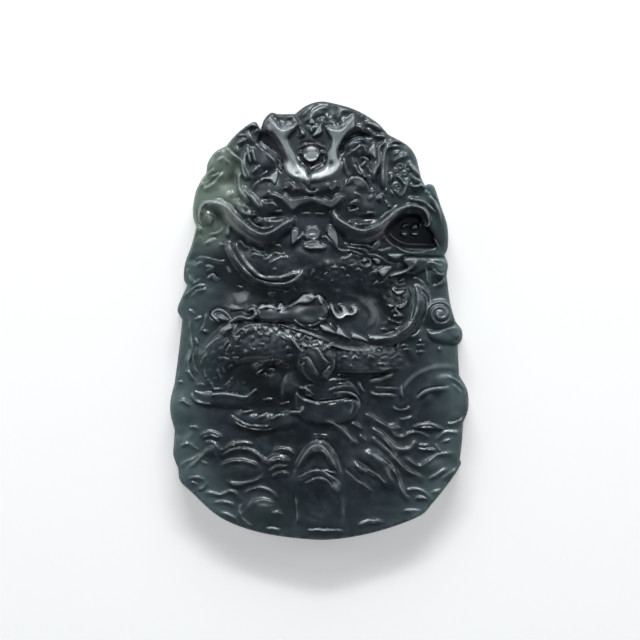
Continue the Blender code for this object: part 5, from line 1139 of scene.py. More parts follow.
def dorsal_fin(stone):
    """A smooth strip along the back with a row of pointed plates under it, and longer teeth to its right."""
    strip = [(-12.6, -3.2), (-11.6, -1.7), (-10.2, -0.8), (-8.6, -0.3), (-6.8, -0.3), (-5, -0.6),
        (-3.2, -1.1), (-1.4, -1.7), (0.6, -2.4), (2.8, -3), (5, -3.4), (7.4, -3.4)]
    stone.band(strip, 0.12, 1, 1.2)
    back_line = [(-12.4, -2.5), (-11.2, -1.3), (-9.8, -0.6), (-8.4, -0.5), (-7, -0.5), (-5.4, -0.7),
        (-3.7, -1.2), (-2.2, -1.7), (-0.6, -2.3), (0.8, -2.8), (1.6, -3.3)]
    stone.bead(back_line, 0.25, 0.22, taper=0.05)
    each(stone.bead, [
        (0.3, 0.22, [(-3.7, 0.2), (-3, -0.5), (-2, -1), (-0.6, -1.3), (0.2, -1.3)]),
        (0.3, 0.25, [(0.2, -1.3), (1.5, -1.75), (2.9, -2.1), (4.3, -2.6)]),
    ])
    edge = smooth_line(back_line)
    # Each plate with a painted highlight.
    for x, y in edge[3::6]:
        plate = [(x - 0.45, y - 0.35), (x + 0.45, y - 0.45), (x + 0.1, y - 1.1)]
        stone.pale(plate, 0.35, 0.25, 0.75, 0.15)
        stone.crest(plate[:2], 0.35, 0.2, 0.3, taper=0.1)
    # Small spurs with painted highlights.
    many(stone.pale, [
        [(-5.7, -2.1), (-5.1, -2.2), (-4.6, -2.8), (-5.2, -2.6)],
        [(-4.1, -2.6), (-3.5, -2.8), (-2.9, -3.6), (-2.4, -4.6), (-3.3, -3.8)],
        [(-2.6, -3.3), (-2.1, -3.1), (-1.5, -3.7), (-2.2, -3.8)],
        [(-7.8, -2), (-7.4, -1.7), (-7, -2.2), (-7.4, -2.2)],
    ], 0.5, 0.25, 0.8, 0.15)
    each(stone.crest, [
        (0.4, [(-9.4, -0.9), (-8.9, -1.5), (-8.4, -2.1), (-8, -2.2)]),
        (0.5, [(-2.9, -3), (-2.4, -2.6), (-1.8, -2.1)]),
        (0.5, [(-3.9, -2), (-3.5, -2.6), (-3, -3)]),
    ], 0.35, 0.3)
    # Longer teeth with painted highlights.
    many(stone.pale, [
        [(0, -0.6), (0.8, -0.7), (1.7, -1.2), (2.4, -1.9), (1.4, -1.7), (0.4, -1.4)],
        [(2.4, -1.9), (2.7, -0.9), (3.3, -1.4), (3.7, -2), (4.6, -2.8), (3.4, -2.3)],
        [(4.6, -2.5), (4.8, -1.8), (5.8, -2.1), (6.6, -2.6), (7.1, -3.1), (5.8, -2.8)],
        [(7.1, -2.2), (8.4, -2.15), (9.9, -2.3), (9.6, -2.6), (7.3, -2.8)],
    ], 0.9, 0.35, 1.1, 0.2)
    stone.crest([(1.4, -0.3), (1.9, -0.9), (2.5, -1.7)], 0.4, 0.3, 0.4)


def forelimb(stone):
    """The arm across the middle with its knuckled upper edge, round shoulder and three-pronged claw."""
    arm = [(-9.2, 1.2), (-8, 2), (-6.4, 1.8), (-4.8, 1.7), (-3.6, 2.3), (-2.4, 3.4), (-1.2, 3.6), (0.2, 3.1),
        (1.2, 1.8), (1.3, 0.6), (0.4, -0.4), (-1.4, -0.9), (-3, -0.5), (-5, -0.3), (-7.4, -0.4), (-9.2, 0.2)]
    stone.raised(arm, 0.9, 0.8)
    knuckles = [(-8.8, 1.5), (-8.2, 2.1), (-7.7, 2), (-7, 2.15), (-6.4, 1.9), (-5.9, 1.6), (-5.5, 2.3),
        (-5, 1.9), (-4.3, 2), (-3.5, 2.5), (-2.8, 3), (-2.2, 3.5), (-1.7, 3.5), (-0.9, 3.2), (-0.1, 3.5),
        (0.4, 3), (1, 2.5)]
    stone.crest(knuckles, 0.7, 0.4, 0.4, taper=0.05)
    # Knuckles with painted highlights.
    many(stone.pale, [
        [(-8.8, 1.5), (-8.2, 2.3), (-7.6, 2.2), (-6.8, 2.2), (-6.2, 1.7), (-7.4, 1.7)],
        [(-6, 1.5), (-5.6, 2.5), (-5.3, 2.2), (-4.8, 1.7)],
        [(-4.8, 1.8), (-3.8, 2.2), (-3.1, 2.9), (-2.2, 3.6), (-1.2, 3.75), (-0.6, 3.4), (-0.9, 2.8),
         (-1.7, 2.4), (-2.8, 2.4), (-3.6, 2.1)],
        [(-0.3, 3.5), (0, 3.4), (0.5, 2.6), (0.4, 2.2), (0, 2.5)],
    ], 0.5, 0.3, 1.8, 0.25)
    stone.crest([(-3.8, 0.3), (-3.2, -0.3), (-2.4, -0.7), (-1.4, -0.8), (-0.5, -0.6), (0.3, -0.1),
        (0.8, 0.4)], 0.5, 0.3, 0.4)
    # A faint painted sheen on the shoulder.
    stone.tint([(-3.4, 0.6), (-2.6, 2.2), (-1.2, 2.6), (0.2, 2.2), (0.8, 0.8), (-0.2, -0.3), (-1.6, -0.5),
        (-2.8, -0.1)], 0.1, 0.8)
    each(stone.crest, [
        (0.4, [(0.1, 3.6), (0.5, 3.1), (0.7, 2.5)]),
        (0.3, [(-0.2, 0.2), (0.6, 0.1), (1.2, 0.3)]),
    ], 0.35, 0.7)
    claw = [(1.5, 2.4), (1.9, 2), (2.1, 1.4), (2.5, 0.9), (3, 0.85), (3.3, 1.2), (3.2, 1.7), (2.9, 2.1),
        (3.6, 1.9), (4, 1.4), (4.3, 1), (4.7, 1), (4.9, 1.3), (4.7, 1.8), (5.2, 1.9), (5.4, 1.5), (5.2, 1),
        (4.6, 0.65), (3.9, 0.7), (3.3, 0.3), (2.7, 0.2), (2.2, 0.6), (1.8, 1.3)]
    # The claw with a painted highlight.
    stone.pale(claw, 0.9, 0.3, 1.6, 0.15)
    stone.bead(claw + claw[:1], 0.7, 0.22, taper=0.02)


def hind_paw(stone):
    """The small paw and the pit at the lower left, inside the arch, with painted shade in the pit."""
    pit = [(-11.2, -6.8), (-9.4, -6), (-7.6, -5), (-5.6, -5.2), (-5.2, -6.6), (-6.2, -8.2), (-5.4, -9.6),
        (-5, -11.2), (-6.2, -12.5), (-8.6, -12.5), (-10.4, -11.2), (-11.4, -9)]
    stone.hollow(pit, -0.2, 2.4)
    stone.tint(pit, -0.8, 2)
    each(stone.band, [
        (0.4, 0.7, 1.2, [(-9.8, -7.6), (-8.4, -6.4), (-6.9, -6), (-5.4, -5.9)]),
        (0.4, 1, 1, [(-5.6, -6.8), (-6.2, -8.2), (-7.4, -9.3)]),
        (0.9, 1.6, 1.4, [(-3, -7.6), (-4, -9), (-4.2, -10.6), (-3.8, -12)]),
    ])
    each(stone.crest, [
        (0.6, [(-8.3, -6.1), (-7.5, -5.8), (-6.8, -5.7), (-6.2, -5.9)]),
        (0.4, [(-6.2, -6.4), (-5.6, -6), (-5.1, -5.6)]),
        (0.3, [(-9.5, -7.1), (-8.7, -6.5), (-7.9, -6.3), (-7, -6.5)]),
        (0.6, [(-9, -7.7), (-8.4, -7.2), (-7.8, -7.1)]),
        (0.6, [(-7.3, -7.1), (-6.7, -6.9), (-6.1, -7.2)]),
        (0.5, [(-8.4, -8.1), (-7.9, -7.6), (-7.5, -7.7), (-7.1, -8.1)]),
        (0.4, [(-8.1, -11.4), (-7.3, -11.2), (-6.4, -11.3)]),
    ], 0.35, 0.5)


def open_jaw(stone):
    """The long open jaw at the lower left: upper lip, small teeth and the double line under them."""
    upper = [(-18, -11.2), (-16.2, -11.1), (-14.2, -11.1), (-12.4, -11.2), (-10.8, -11.2), (-9.4, -10.4)]
    each(stone.band, [
        ([0.3, 0.5, 0.6, 0.5, 0.3], [0.9, 1, 1, 0.8, 0.5], [0.9, 1.2, 1.6, 1.5, 1], upper),
        ([0.3, 0.5, 0.6, 0.6, 0.5], 1.4, 1.3, [(-13.6, -13.4), (-11.6, -14.2), (-9.2, -14.6), (-6.4, -14.6),
         (-3.6, -13.9), (-1.6, -13.4)]),
    ])
    stone.crest([(-15.6, -10.6), (-14.4, -10.4), (-13, -10.45), (-11.8, -10.65), (-10.6, -10.9),
        (-9.9, -10.5), (-9.3, -10), (-8.9, -9.7)], 0.6, 0.35, 0.7, taper=0.08)
    many(stone.crest, [
        [(-11.4, -12.6), (-11.1, -13), (-10.4, -13), (-9.7, -12.9), (-9.3, -13.2)],
        [(-9.1, -13.9), (-8.3, -13.6), (-7.6, -13.3), (-7.2, -13.3)],
        [(-7.2, -13.8), (-6.6, -13.85), (-6, -13.5), (-5.1, -13.3)],
        [(-4.7, -13.3), (-4.1, -13), (-3.4, -13), (-2.7, -13), (-2.4, -12.4)],
    ], 0.7, 0.35, 0.6)
    each(stone.crest, [
        (0.4, [(-13.4, -13), (-12.6, -13.6), (-11.7, -14.2), (-10.7, -14.8), (-9.5, -15), (-8, -15.1),
         (-6.4, -15)]),
        (0.55, [(-12.9, -13.9), (-12, -14.5), (-11, -15.1), (-10, -15.4), (-8.6, -15.6), (-7.2, -15.6),
         (-5.8, -15.2)]),
        (0.15, [(-18.2, -10), (-17.4, -10.3), (-16.2, -10.6)]),
        (0.3, [(-15.4, -9.8), (-14.4, -9.8), (-13.6, -9.6)]),
        (0.5, [(-5.7, -12), (-5, -11.8), (-4, -11.6)]),
    ], 0.35, 0.5)
    stone.bead([(-18.1, -10.2), (-18.1, -11), (-17.5, -11.6), (-16.5, -11.9), (-15, -12.1)], 0.3, 0.3)
    stone.swell((-2.4, -12.7), (0.35, 0.6), 0.4)


def bowl_paw(stone):
    """The wide smooth paw in the lower middle with the hair folds above it."""
    paw = [(-3.3, -10.3), (-1.9, -11.4), (0.4, -11.9), (2.8, -11.6), (4.8, -11.1), (5.6, -12), (5.5, -13.4),
        (4, -14.4), (1, -14.9), (-1.6, -14.4), (-3.2, -13)]
    each(stone.raised, [
        (0.6, 0.45, paw),
        (0.25, 0.4, [(-3, -9.6), (-0.6, -9), (2.4, -8.2), (4.6, -9), (5.8, -10.8), (4.6, -10.9), (2, -11.2),
         (-0.8, -11.2)]),
    ])
    each(stone.crest, [
        (0.95, [(-3.3, -10.1), (-2.7, -10.8), (-1.8, -11.3), (-0.8, -11.6), (0.4, -11.7), (1.6, -11.55),
         (2.8, -11.4), (4, -11.1), (4.8, -10.9)]),
        (0.5, [(-2.8, -10), (-2.3, -9.6), (-1.6, -9.8), (-1.2, -10.3), (-0.8, -10.9)]),
        (0.4, [(-2.2, -10.4), (-1.6, -10.5), (-1, -11)]),
        (0.8, [(1.6, -10.7), (2.6, -10.3), (3.6, -10.2), (4.6, -10.4), (5.4, -11), (5.75, -12),
         (5.6, -13.2)]),
        (0.35, [(4.5, -11.3), (4.8, -12.2), (4.5, -13.2), (4.2, -13.8)]),
        (0.5, [(0.9, -10.1), (1.6, -9.9), (2.3, -9.6), (3.2, -9.4), (4.2, -9.4), (5, -9.6)]),
        (0.35, [(2, -9.2), (3, -9), (4.2, -9.1)]),
        (0.4, [(2.1, -8.7), (2.8, -8.4), (3.6, -8.3), (4.4, -8.4)]),
        (0.3, [(2.4, -7.9), (3.2, -7.7), (4, -7.8)]),
        (0.3, [(5.2, -8.6), (5.8, -9.4), (6.4, -10.3)]),
    ], 0.35, 0.55)
    stone.swell((-1.7, -10.1), (0.6, 0.4), 0.4, turn=-30)


def right_boss(stone):
    """The ridge, the big round boss and the small ripples at the right."""
    sweep = [(11.7, -11.4), (11.7, -10.2), (12.4, -9), (13.5, -7.9), (15, -7.1), (16.8, -6.6), (18.6, -6.6),
        (20.2, -7.2)]
    stone.band(sweep, 0.1, 0.4, 0.6)
    # A painted sheen along the sweep.
    stone.stroke(sweep, 0.4, 0.4)
    each(stone.tint, [
        (-0.35, 1.4, [(12.4, -11.6), (12.9, -9.9), (14.4, -8.6), (16.6, -8), (18.2, -8.6), (17.8, -11.4),
         (16.4, -13.4), (13.6, -13.2)]),
        (0.12, 0.8, [(18.6, -8.6), (20.4, -9), (21.2, -11.4), (20.8, -14), (18.6, -14.4), (18, -11.6)]),
        (0.12, 0.4, [(18, -16.2), (20.4, -16), (20.2, -19), (17.6, -18.8), (16.5, -17.5)]),
    ])
    stone.swell((17.4, -11.6), (4.6, 4.4), 0.5)
    each(stone.crest, [
        (1.3, [(13.8, -11.5), (14.2, -10.8), (15, -10.1), (16.2, -9.75), (17.4, -9.6), (18.8, -9.6)]),
        (0.35, [(18, -8), (19.2, -8.3), (20.2, -9.1), (20.9, -10.2)]),
        (0.25, [(18.8, -9), (19.7, -9.6), (20.4, -10.6)]),
        (0.4, [(18, -14.6), (19, -14.7), (20, -14.3), (20.6, -13.7)]),
        (0.9, [(6.9, -8.9), (7.6, -8.5), (8.6, -8.3), (9.8, -7.9), (10.7, -7.6)]),
        (0.5, [(7.6, -9.6), (9, -9.6), (10.4, -9.65), (11.6, -9.9)]),
        (0.9, [(7.2, -9.8), (7.5, -10.3), (8.4, -10.55), (9.6, -10.5), (10.4, -10.6), (11.1, -10.95)]),
        (0.5, [(5.6, -8.6), (6, -9.4), (6.4, -10.3)]),
        (0.4, [(11.7, -9), (11.8, -10.2), (11.9, -11.4)]),
        (0.6, [(10.4, -12.1), (10.9, -12.6), (11.8, -12.75), (12.6, -12.5), (13, -12.1)]),
        (0.35, [(11.3, -14.1), (12.4, -14), (13.5, -13.6)]),
        (0.25, [(8, -7.1), (9.4, -6.9), (10.8, -6.8), (12, -6.6)]),
    ], 0.35, 0.7)
    # Painted highlights along the ridges and the boss's arc.
    each(stone.stroke, [
        (0.8, 0.3, [(6.8, -9), (7.6, -8.6), (8.6, -8.4), (9.8, -8), (10.8, -7.6)]),
        (0.7, 0.25, [(7.1, -9.8), (7.5, -10.35), (8.4, -10.6), (9.6, -10.6), (11.1, -11)]),
        (0.9, 0.3, [(13.8, -11.5), (14.2, -10.9), (15, -10.2), (16.2, -9.85), (17.4, -9.7), (18.8, -9.7)]),
    ])
    fish = [(13.2, -15.3), (14, -14.8), (15.2, -14.6), (16.4, -14.7), (17.7, -15.5), (16.4, -15.7),
        (14.8, -15.6)]
    stone.raised(fish, 0.5, 0.4)
    each(stone.crest, [
        (0.3, 0.3, 0.5, [(13.3, -15.3), (14, -14.9), (15.2, -14.65), (16.4, -14.8), (17.5, -15.4)]),
        (0.3, 0.3, 0.3, [(13.7, -15.4), (15, -15.3), (16.6, -15.4)]),
    ])


def flowing_water(stone):
    """Strands of water that stream down to the right."""
    each(stone.ripple, [
        (0.55, 0.8, [(0.4, -14.2), (1.6, -14.6), (2.6, -15), (3.4, -15.5), (4, -16.2), (4.7, -17),
         (5.6, -18)]),
        (0.5, 0.6, [(4.4, -15), (4.8, -14.7), (5.4, -15), (6.2, -15.6)]),
        (0.45, 0.6, [(5.7, -16.2), (6.2, -16.7), (6.8, -17.4)]),
        (0.45, 1, [(6, -13.3), (7.2, -13.6), (8.2, -14.2), (9.2, -14.8), (10.2, -15.3), (11.4, -15.7)]),
        (0.4, 0.5, [(9.8, -14.8), (10.8, -15), (11.7, -15.6)]),
        (0.45, 0.7, [(9.4, -15.3), (10.2, -15.8), (10.9, -16.4), (11.8, -16.6), (12.6, -16.2), (13.5, -15.9),
         (14.5, -16), (15.3, -16.5), (16, -17)]),
        (0.65, 0.9, [(6.9, -15.4), (8, -15.6), (9, -16.2), (10, -17.2), (10.9, -18), (11.8, -18.35),
         (12.8, -18.2), (13.4, -17.6), (14, -16.8)]),
        (0.35, 0.6, [(7.6, -16), (8.6, -16.5), (9.6, -17.4), (10.6, -18.6), (11.4, -19.6)]),
        (0.6, 0.8, [(6.9, -16.6), (7.8, -16.9), (8.7, -17.5), (9.5, -18.2), (10.3, -19), (11, -19.8),
         (11.7, -20.6), (12.6, -21.4), (13.8, -22), (15.2, -22.8)]),
        (0.55, 0.7, [(6.5, -18.3), (7.4, -18.8), (8.4, -19.4), (9.4, -20.2), (10.3, -21.1), (11, -22),
         (11.4, -23), (11.7, -24), (12.2, -25), (13.2, -25.9)]),
        (0.35, 0.5, [(7.6, -18.4), (8.8, -19.1), (9.8, -20), (10.8, -21.2), (11.4, -22.4)]),
        (0.6, 0.7, [(4.8, -20), (5.6, -20.6), (6.6, -21.1), (7.7, -21.7), (8.5, -22.3), (9.2, -23.1),
         (9.6, -24)]),
        (0.35, 0.5, [(5, -20.5), (6, -21.2), (7.2, -21.9), (8.2, -22.7)]),
        (0.35, 1.2, [(3.2, -21), (4.4, -22), (5.6, -23), (6.8, -23.8), (8, -24.8)]),
        (0.35, 0.6, [(11.8, -19.5), (13, -20.1), (14.3, -20.8), (15.2, -20.3), (16.2, -19.6), (17.2, -19.1),
         (18.4, -19), (19.6, -19.1)]),
        (0.45, 0.6, [(15.3, -22.9), (16, -22.4), (16.8, -21.9), (17.6, -21.4), (18.5, -21)]),
        (0.3, 0.5, [(17.2, -22.9), (18, -22.3), (19, -21.6), (19.8, -21)]),
        (0.45, 0.5, [(13.8, -18.1), (14.6, -18.4), (15.6, -18.4), (17, -18.6)]),
        (0.3, 0.4, [(13.9, -17.7), (15, -17.85), (15.9, -17.7)]),
        (0.35, 0.6, [(16.4, -17.4), (17, -16.7), (17.8, -16), (18.8, -15.9), (20.2, -16.1)]),
        (0.3, 0.4, [(16.4, -17.4), (16.9, -18.2), (17.5, -18.9)]),
        (0.3, 0.4, [(17.3, -17.5), (18.1, -17.2), (18.9, -16.9)]),
        (0.35, 0.7, [(12, -24.3), (13.3, -24.1), (14.4, -24.2), (15.4, -24.8), (16, -26)]),
        (0.5, 0.4, [(13.6, -25.6), (14.2, -25.3), (15, -25.4), (15.6, -25.7)]),
        (0.3, 0.5, [(15.8, -24.7), (16.6, -24.4), (17.6, -24.2)]),
        (0.5, 0.6, [(5.2, -29.4), (6.2, -28.9), (7.2, -28.6), (8.2, -28.6), (9.4, -28.9)]),
        (0.25, 0.6, [(11.6, -27.3), (13, -27.1), (14.8, -27.2)]),
    ])
    broad = [
        (0.4, [(8.6, -16.1), (9.8, -17.2), (11, -18.2), (12.2, -18.4), (13.2, -17.9), (13.9, -17)]),
        (0.35, [(9.9, -14.9), (10.7, -15.2), (11.4, -15.5)]),
        (0.3, [(7.4, -16.8), (8.8, -17.8), (10.2, -19.1), (11.4, -20.4)]),
        (0.3, [(7, -18.7), (8.4, -19.5), (9.6, -20.6), (10.6, -21.8)]),
        (0.3, [(1.8, -14.8), (3.2, -15.6), (4.4, -16.8), (5.2, -17.8)]),
        (0.3, [(15.6, -22.6), (16.6, -22), (17.6, -21.5), (18.4, -21.1)]),
        (0.25, [(13.8, -15), (15, -14.8), (16.2, -14.85), (17.2, -15.3)]),
    ]
    # A painted sheen beside the strands.
    for width, route in broad:
        stone.stroke(route, 0.5, width)
    each(stone.band, [
        (0.5, [(5.6, -18.8), (8, -20.4), (9.6, -22.4), (10.4, -24.8)]),
        (0.4, [(4, -20), (6, -22), (7.6, -24.2)]),
    ], 1, 1)
    stone.swell((15.8, -20.9), (3, 1.6), 0.4)


def rock(stone):
    """The stepped rock that rises out of the water in the middle."""
    column = [(-4, -22.4), (-3, -20.4), (-1.9, -18.4), (-1, -17.5), (0.2, -17.3), (1.2, -17.8), (2.2, -19.2),
        (3.2, -21.4), (3.8, -24), (3.8, -27), (3.9, -33), (-3.4, -33), (-3.4, -27), (-3.6, -24.6)]
    stone.raised(column, 0.35, 2.4)
    stone.hollow([(-2.6, -20.8), (-1.4, -19), (-0.6, -18.7), (0.4, -18.7), (1.2, -19.4), (2.4, -21.4),
        (1, -20.9), (-0.4, -20.6), (-1.6, -21.2)], 0.5, 0.8)
    stone.swell((0, -25.6), (2.4, 2.6), -0.5)
    peak = [(-3.4, -21.2), (-2.6, -19.9), (-1.9, -18.8), (-1.2, -18.1), (-0.4, -17.8), (0.3, -17.9),
        (0.9, -18.4), (1.5, -19.3), (2.1, -20.3), (2.7, -21.4)]
    stone.band(peak, 0.5, 0.5, 0.9)
    stone.crest(peak, [0.2, 0.5, 0.8, 0.4, 0.2], 0.35, 0.8, taper=0.08)
    each(stone.crest, [
        (0.35, [(-1.8, -17.8), (-1, -17.35), (0, -17.2), (0.9, -17.4), (1.7, -18.2), (2.3, -19.2),
         (3, -20.8)]),
        (0.3, [(-1.3, -18.9), (-0.6, -18.6), (0.3, -18.6), (0.9, -19.1), (1.6, -20)]),
        (0.2, [(-1.2, -16.4), (0, -16.3), (1.6, -16.5)]),
        (0.2, [(-1, -16.8), (0.2, -16.7), (1.4, -16.9)]),
        (0.6, [(-3.6, -22.8), (-2.4, -22.1), (-1.2, -21.5), (-0.3, -21.35), (0.5, -21.5), (1.3, -22),
         (2.1, -22.5), (2.8, -23.2), (3.2, -24)]),
        (0.35, [(0.4, -21.3), (1.4, -21.5), (2.4, -21.8)]),
        (0.5, [(-2.4, -23.5), (-1.4, -22.9), (-0.5, -22.5), (0.5, -22.5), (1.2, -22.9), (1.7, -23.6),
         (2.1, -24.4)]),
        (0.2, [(3.2, -24.6), (3.3, -26.4), (3.5, -28.2), (3.5, -29.6)]),
        (0.4, [(-3.3, -29.8), (-3.2, -28), (-3.3, -26.4), (-3.5, -24.6)]),
        (0.45, [(-2.2, -30), (-0.6, -29.9), (1.2, -29.9), (2.8, -30), (3.9, -30.2)]),
        (0.35, [(-7.8, -29.7), (-6.6, -29.7), (-5.4, -30)]),
    ], 0.35, 0.7)
    stone.swell((2.4, -23.8), (0.9, 1.1), 0.4)
    # A painted highlight on the rock's right shoulder and painted shade to the left of its peak.
    each(stone.tint, [
        (0.45, 0.7, [(1.5, -22.8), (2.3, -22.7), (3, -23.4), (3.2, -24.4), (2.4, -24.9), (1.7, -24)]),
        (-0.55, 0.9, [(-8, -16), (-5, -15.7), (-1.6, -15.7), (-0.9, -16.6), (-1.8, -17.6), (-3, -19.2),
         (-3.8, -20.6), (-5.2, -18.6)]),
    ])
    # A painted highlight along the rock's right side.
    stone.stroke([(3.2, -24.2), (3.4, -26.4), (3.3, -28.2), (3.5, -29.8)], 0.22, 0.5)
    # Painted highlights on the rock's upper facets.
    each(stone.tint, [
        (0.35, 0.3, [(-3.7, -21.2), (-2.6, -19.6), (-1.7, -18.3), (-0.9, -17.8), (-0.9, -18.7),
         (-1.6, -19.2), (-2.4, -20.2), (-3.2, -21.2)]),
        (0.7, 0.25, [(-1.1, -17.9), (0.5, -17.8), (1, -18.6), (0.3, -18.8), (-0.9, -18.8)]),
        (0.35, 0.3, [(0.6, -17.9), (1.4, -18.8), (2.3, -20.2), (3, -21.6), (2.3, -21.2), (1.4, -19.9),
         (0.8, -18.9)]),
        (0.3, 0.3, [(-3.2, -22.5), (-1.4, -21.7), (0.1, -21.4), (1.2, -21.9), (2.1, -22.7), (2.1, -23.4),
         (1, -22.5), (0, -22.1), (-1.2, -22.3), (-2.6, -23.1)]),
    ])


def waves(stone):
    """Rolling waves and foam bosses at the lower left."""
    each(stone.swell, [
        ((3.6, 2.2), 0.4, (-11.4, -21.6)),
        ((3.4, 3.2), 0.5, (-8.4, -26.8)),
        ((2.8, 2.6), 0.4, (-17.4, -22.2)),
        ((1.4, 1.3), 0.5, (-15.3, -18.6)),
        ((2.4, 3.2), 0.4, (-19.4, -12.4)),
        ((2.2, 2.2), 0.2, (-18.8, -17.8)),
        ((2.2, 1.6), 0.3, (-5.8, -20.4)),
    ])
    each(stone.ripple, [
        (0.55, [(-14.1, -20.8), (-13, -20.2), (-12, -20), (-11, -20), (-10, -20.2), (-9.2, -20.5),
         (-8.5, -20.8)]),
        (0.45, [(-13.6, -22.9), (-12.2, -23.2), (-10.8, -23.2), (-9.4, -22.9), (-8.4, -22.4),
         (-7.6, -21.9)]),
        (0.35, [(-11.4, -27), (-11.2, -28), (-10.4, -28.8), (-9.3, -29.6)]),
        (0.3, [(-19.9, -18.2), (-19.4, -17.7), (-18.6, -17.6), (-17.6, -18.2)]),
        (0.3, [(-16.4, -22.7), (-16.1, -23.3), (-16.6, -24), (-17.6, -24.3)]),
        (0.3, [(-13.2, -23.3), (-11.6, -23.5), (-10.2, -23.4)]),
        (0.4, [(-16.7, -18.1), (-16.2, -17.5), (-15.6, -17.3), (-15, -17.5), (-14.5, -18), (-14, -18.5),
         (-13.4, -18.2), (-12.8, -17.8), (-12, -17.45), (-11, -17.4), (-10, -17.6), (-9, -18)]),
        (0.6, [(-14.7, -18.4), (-14, -19.2), (-13.3, -18.9), (-12.6, -18.5), (-11.6, -18.3), (-10.6, -18.3),
         (-9.6, -18.6), (-8.6, -19.2), (-7.8, -19.9), (-7.2, -19.9), (-6.6, -19.55), (-5.8, -19.4),
         (-5, -19.6), (-4.4, -20.1), (-4.2, -20.6)]),
        (0.3, [(-13, -18.1), (-12.2, -17.8), (-11.4, -17.7), (-10.6, -17.75)]),
        (0.45, [(-17.3, -16.7), (-16.6, -16.2), (-15.8, -15.9), (-15, -16), (-14.3, -16.4), (-13.6, -17)]),
        (0.45, [(-17, -17), (-16.3, -16.6), (-15.6, -16.4), (-14.8, -16.6), (-14.1, -17)]),
        (0.35, [(-18.8, -15.3), (-17.8, -15.2), (-17, -15.6)]),
        (0.5, [(-18.8, -21), (-18, -20.5), (-17.4, -20), (-16.9, -19.4), (-16.4, -18.9), (-15.7, -18.6)]),
        (0.35, [(-20, -21.2), (-19.3, -20.3), (-18.4, -19.9), (-17.6, -19.5), (-17, -18.8)]),
        (0.3, [(-17, -19.9), (-16.4, -20.3), (-15.9, -20.5)]),
        (0.3, [(-14.7, -20.2), (-14.7, -19.6), (-15, -18.9)]),
        (0.45, [(-7.6, -20.7), (-6.9, -20.1), (-6, -19.85), (-5.1, -20), (-4.4, -20.4)]),
        (0.45, [(-7.5, -21.7), (-6.8, -21.2), (-6, -20.8), (-5, -20.7), (-4.2, -20.8)]),
        (0.55, [(-7, -22.5), (-6.4, -22), (-5.6, -21.7), (-4.8, -21.7), (-4.1, -22.1)]),
        (0.45, [(-6.5, -18.7), (-5.7, -18.3), (-4.8, -18.3), (-4, -18.6), (-3.4, -19.4)]),
        (0.3, [(-6, -19), (-5.2, -18.7), (-4.4, -18.8)]),
        (0.3, [(-19, -22.7), (-18, -22.4), (-17, -22.5), (-16, -22.9)]),
        (0.35, [(-18.5, -23), (-17.8, -23.2), (-17.2, -23.6)]),
        (0.4, [(-16.7, -24.9), (-15.8, -24.6), (-15, -24.7), (-14.2, -24.85), (-13.4, -24.6),
         (-12.6, -24.35), (-11.9, -24.7), (-11.4, -25.3)]),
        (0.3, [(-15.4, -26.1), (-14.2, -25.9), (-13, -26), (-12.2, -26.4), (-11.9, -26.9)]),
        (0.3, [(-14.6, -27.4), (-13.4, -27.6), (-12.4, -28), (-11.5, -28.7)]),
        (0.35, [(-10.8, -25.1), (-10, -24.2), (-9, -23.9), (-8, -23.9), (-7, -24.3), (-6.3, -24.9),
         (-5.7, -25.8)]),
        (0.3, [(-11, -28.2), (-11.4, -27.3), (-11.2, -26.5), (-10.6, -26)]),
        (0.55, [(-9.9, -26.2), (-9, -25.8), (-8, -25.6), (-7.1, -25.8), (-6.3, -26.3)]),
        (0.4, [(-7, -27.7), (-6.2, -27.3), (-5.6, -27.5), (-5.1, -28.1)]),
        (0.45, [(-20.1, -11.9), (-19.5, -11.4), (-18.9, -11.8), (-18.1, -12.3)]),
        (0.3, [(-18.2, -18), (-17.6, -18.2), (-17.2, -18.6)]),
        (0.3, [(-20.3, -9), (-19.8, -8.7), (-19.4, -9)]),
        (0.3, [(-17.6, -9.3), (-16.9, -9.1), (-16.2, -9.4)]),
    ], 0.6)
    # Painted highlights on a wave and on the foam boss.
    each(stone.tint, [
        (0.3, 0.3, [(-20.2, -21.3), (-19.4, -20.3), (-18.2, -19.9), (-17, -19.3), (-16.2, -18.6),
         (-16.4, -19.2), (-17.2, -20), (-18.4, -20.6), (-19.4, -21)]),
        (0.6, 0.3, [(-9.9, -26.3), (-8.8, -25.8), (-7.4, -25.8), (-6.3, -26.4), (-7.2, -26.6),
         (-8.6, -26.5)]),
        (0.14, 1.6, [(-10.6, -26), (-9.4, -24.6), (-7.6, -24.4), (-6.2, -25.4), (-5.8, -27), (-7.6, -28.2),
         (-9.8, -27.8)]),
    ])


